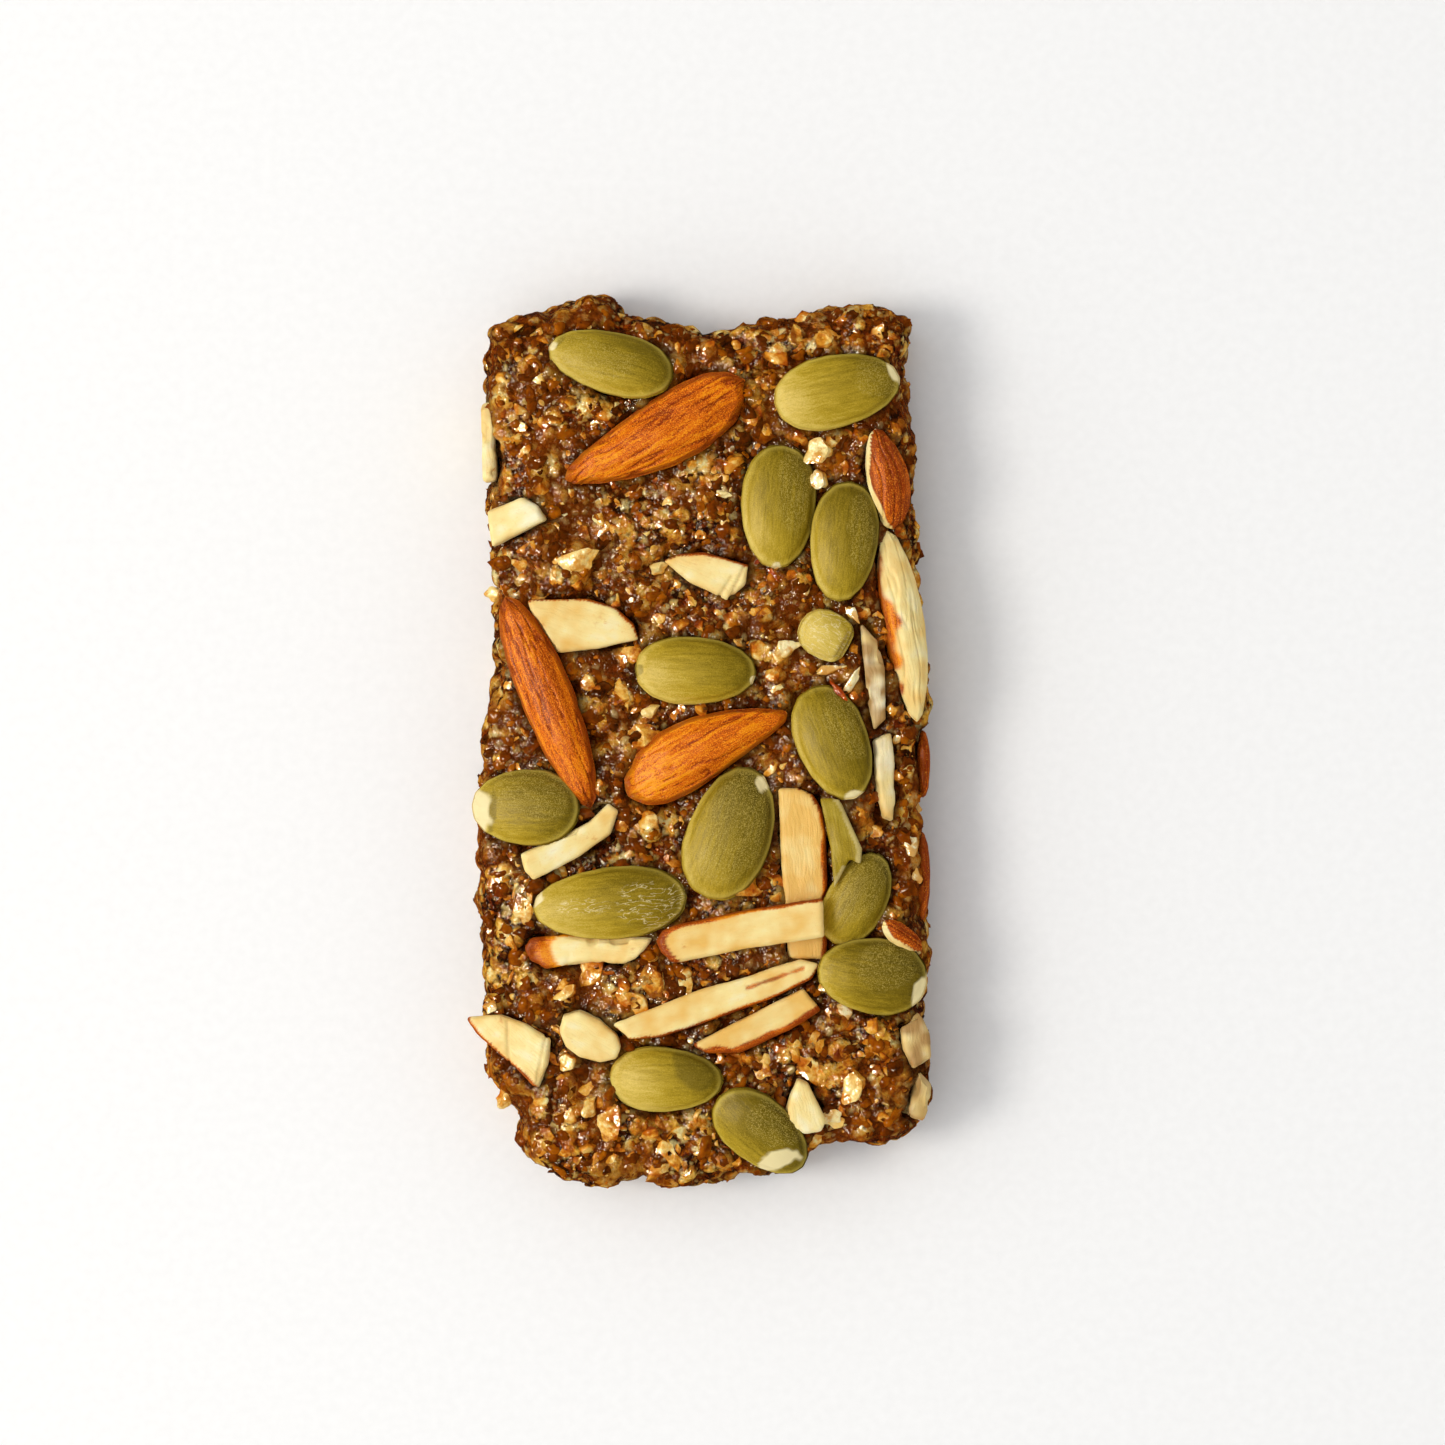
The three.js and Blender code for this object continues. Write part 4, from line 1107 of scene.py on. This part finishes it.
# %% Drop single bits onto what lies under them
def drop_bits(name, masters, finish, bits, salt):
    """Each bit: place in the bar, length, width and height, direction, lift, tone."""
    random = np.random.default_rng(SEED_OF_ALL + salt)
    made = []
    for at, size, direction, lift, tone in bits:
        ground, slope, _, _ = ground_tree.ray_cast(Vector((*at, 30)), -UP)
        if ground is None:
            ground, slope, _, _ = ground_tree.find_nearest(Vector((*at, 8)))
        turned = turned_to(np.array(slope) + (0, 0, 1.5), np.array((*heading(direction)[0], 0)))
        shape, triangles = masters[random.integers(len(masters))]
        spots = np.array(ground) + turned[2] * lift + (shape * np.array(size) / 2) @ turned
        made.append((spots, triangles, tone, syrup_and_shade_at_foot(shape)))
        # Later grains keep away from it.
        crowd.has_room(tuple(spots.mean(axis=0)), 0.4 * size[0], 0)
    join_bits(name, made, finish)


# %% From the largest to the finest
crowd = Crowd(2.6)
almond_crumb_look = grain_finish(
    "almond_crumb", [(0.0, FLESH_PALE), (0.5, FLESH_CREAM), (1.0, FLESH_WARM)], -0.45, 0.4)
dry_flake_look = grain_finish(
    "dry_flake", [(0.0, GRAIN_GOLD), (0.5, GRAIN_TAN), (1.0, GRAIN_CREAM)], -0.4, 0.6)
skin_bit_look = grain_finish(
    "skin_bit", [(0.0, SKIN_DARK), (0.5, SKIN_RUST), (1.0, SKIN_ORANGE)], -0.2)
drop_bits("pale_bits", big_masters, almond_crumb_look, [
    ((13.5, 29.6), (2.3, 2.4, 1.6), 30, 0.5, 0.4),
    ((2.7, 27.8), (2.0, 1.0, 0.6), -15, 0.2, 0.4),
    ((9.7, 10.5), (4.0, 2.0, 0.6), 12, 0.3, 0.3),
    ((14.5, 8.2), (4.2, 1.1, 0.5), 8, 0.5, 0.3),
    ((17.0, 7.0), (3.4, 1.3, 0.5), 62, 0.6, 0.1),
    ((17.2, 14.4), (2.8, 1.2, 0.5), -60, 0.6, 0.0),
    ((-23.4, -29.6), (1.8, 1.3, 0.8), 40, 0.3, 0.2),
    ((16.4, -30.2), (2.6, 1.4, 0.6), -50, 0.2, 0.0),
    ((14.6, -42.0), (3.2, 1.6, 0.6), 10, 0.3, 0.2),
    ((22.3, 0.5), (1.6, 0.8, 0.5), 60, 0.2, 0.2),
    ((24.6, -7.3), (1.8, 1.1, 0.7), 80, 0.3, 0.1),
    ((23.7, -11.8), (2.8, 1.6, 0.9), 95, 0.3, 0.1),
    ((24.4, -15.2), (2.2, 1.4, 0.9), 85, 0.3, 0.05),
], 60)
drop_bits("skin_bits", big_masters, skin_bit_look, [
    ((8.2, 18.9), (2.4, 0.7, 0.7), -55, 0.2, 0.2),
    ((15.6, 5.6), (3.0, 0.7, 0.6), -50, 0.3, 0.1),
    ((6.6, 20.2), (1.5, 0.5, 0.5), 15, 0.2, 0.1),
], 61)
drop_bits("golden_bits", big_masters, dry_flake_look, [
    ((-13.7, 20.4), (5.0, 3.6, 1.2), 25, 0.2, 0.75),
    ((13.4, 32.6), (3.8, 3.0, 1.8), 60, 0.5, 1.0),
    ((-5.4, -9.0), (2.6, 2.3, 2.0), 0, 0.3, 0.8),
    ((-12.4, -40.9), (2.7, 2.4, 2.0), 30, 0.3, 0.65),
    ((-14.8, -35.7), (2.2, 2.0, 1.7), 80, 0.3, 0.6),
    ((-21.8, -40.1), (2.6, 2.2, 1.8), 20, 0.3, 0.6),
    ((17.2, -38.4), (4.4, 2.6, 1.6), 75, 0.3, 0.65),
    ((-14.8, -28.0), (3.2, 1.4, 1.0), 35, 0.3, 0.7),
    ((-4.6, 19.6), (2.2, 1.8, 1.4), 15, 0.3, 0.9),
    ((-23.2, 16.8), (2.0, 1.6, 1.2), 0, 0.3, 0.7),
    ((-5.5, 3.6), (2.4, 2.0, 1.6), 0, 0.3, 0.75),
    ((15.5, -42.6), (2.2, 1.4, 1.0), 10, 0.3, 0.5),
], 62)
BROWN_TO_PALE = (0.15, 0.3, 0.4, 0.45, 0.5, 0.55, 0.6, 0.7, 0.8, 1.0)
# Each: name, masters, how many, smallest and largest reach, how far apart, how high above
# the surface, how much it tilts, finish and tones.
KINDS = [
    ("oat_chunks", flake_masters, 80, (1.5, 2.5), 0.6, -0.2, 0.1, grain_look, (0.5, 0.65, 0.8)),
    ("oat_flakes", flake_masters, 450, (0.9, 1.8), 0.48, -0.25, 0.2, grain_look,
     (0.35, 0.45, 0.55, 0.65, 0.75, 0.95)),
    ("oat_nuggets", nugget_masters, 1900, (0.6, 1.5), 0.45, -0.48, 0.4, grain_look, BROWN_TO_PALE),
    ("fine_crumbs", crumb_masters, 700, (0.25, 0.5), 0.5, -0.3, 0.8, crumb_look, BROWN_TO_PALE),
    ("syrup_drops", drop_masters, 2100, (0.35, 1.2), 0.28, -0.16, 0.2, syrup_look,
     (0.25, 0.35, 0.45, 0.6)),
]
for salt, kind in enumerate(KINDS):
    scatter(*kind, salt)

# %% [markdown]
# ## Floor, light and camera
# The bar lies on plain pale paper. A large and a small soft light on the left shape it, and
# are left out of reflections. A third, small and warm, is seen in reflections alone and
# gives the syrup its sparkle. A bright surrounding fills the shadows, but stays dim in
# reflections, as the dark ceiling of a studio does, so that the syrup keeps its depth.

# %% The floor
floor_finish, tree, surface = new_finish("paper", Roughness=0.8)
spot = put(tree, "ShaderNodeTexCoord").outputs["Object"]
fleck = noise(tree, spot, 900.0, 2.0)[0]
feed(tree, surface["Base Color"],
     ramp(tree, fleck, [(0.3, shade(244, 244, 244)), (0.7, shade(247, 247, 247))]))
floor = add_primitive(bpy.ops.mesh.primitive_plane_add, size=6)
floor.name = "paper_floor"
floor.data.materials.append(floor_finish)
floor.visible_glossy = False

# %% The lights
def add_light(name, place, size, power, unseen, colour=(1, 1, 1)):
    """A square soft light that faces the bar. unseen is what it is left out of."""
    lamp = bpy.data.lights.new(name, "AREA")
    lamp.size = size
    lamp.energy = power
    lamp.color = colour
    holder = add_object(name, lamp)
    holder.location = place
    holder.rotation_euler = (-Vector(place)).to_track_quat("-Z", "Y").to_euler()
    holder.visible_camera = False
    setattr(holder, unseen, False)


WINDOW_PLACE = (-0.98, -0.08, 1.12)
WARM_WHITE = (1.0, 0.88, 0.68)
add_light("soft_fill", (-0.95, -0.06, 1.15), 2.2, 11.0, "visible_glossy")
add_light("window", WINDOW_PLACE, 0.5, 6.0, "visible_glossy")
add_light("sparkle", WINDOW_PLACE, 0.4, 105.0, "visible_diffuse", WARM_WHITE)
print("lights:", [lamp.name for lamp in bpy.data.lights])

# %% The surrounding
SURROUNDING = 0.56
DIMMER_IN_GLOSS = 0.54

world = bpy.data.worlds.new("surrounding")
SCENE.world = world
world.use_nodes = True
tree = world.node_tree
background = tree.nodes["Background"]
background.inputs["Color"].default_value = (1, 1, 1, 1)
seen_in_gloss = put(tree, "ShaderNodeLightPath").outputs["Is Glossy Ray"]
feed(tree, background.inputs["Strength"],
     times(tree, seen_in_gloss, -DIMMER_IN_GLOSS, SURROUNDING))
SCENE.view_settings.view_transform = "Standard"

# %% The camera, straight above
CAMERA_PLACE = (0.0026, 0.0022, 0.7)
TOP_OF_BAR = 0.0125
FRAME_WIDTH = 0.1618

camera = bpy.data.cameras.new("camera")
camera.lens = camera.sensor_width * (CAMERA_PLACE[2] - TOP_OF_BAR) / FRAME_WIDTH
camera_holder = add_object("camera", camera)
camera_holder.location = CAMERA_PLACE
SCENE.camera = camera_holder

# %% [markdown]
# ## The end

# %% Bring the scene up to date
bpy.context.view_layer.update()
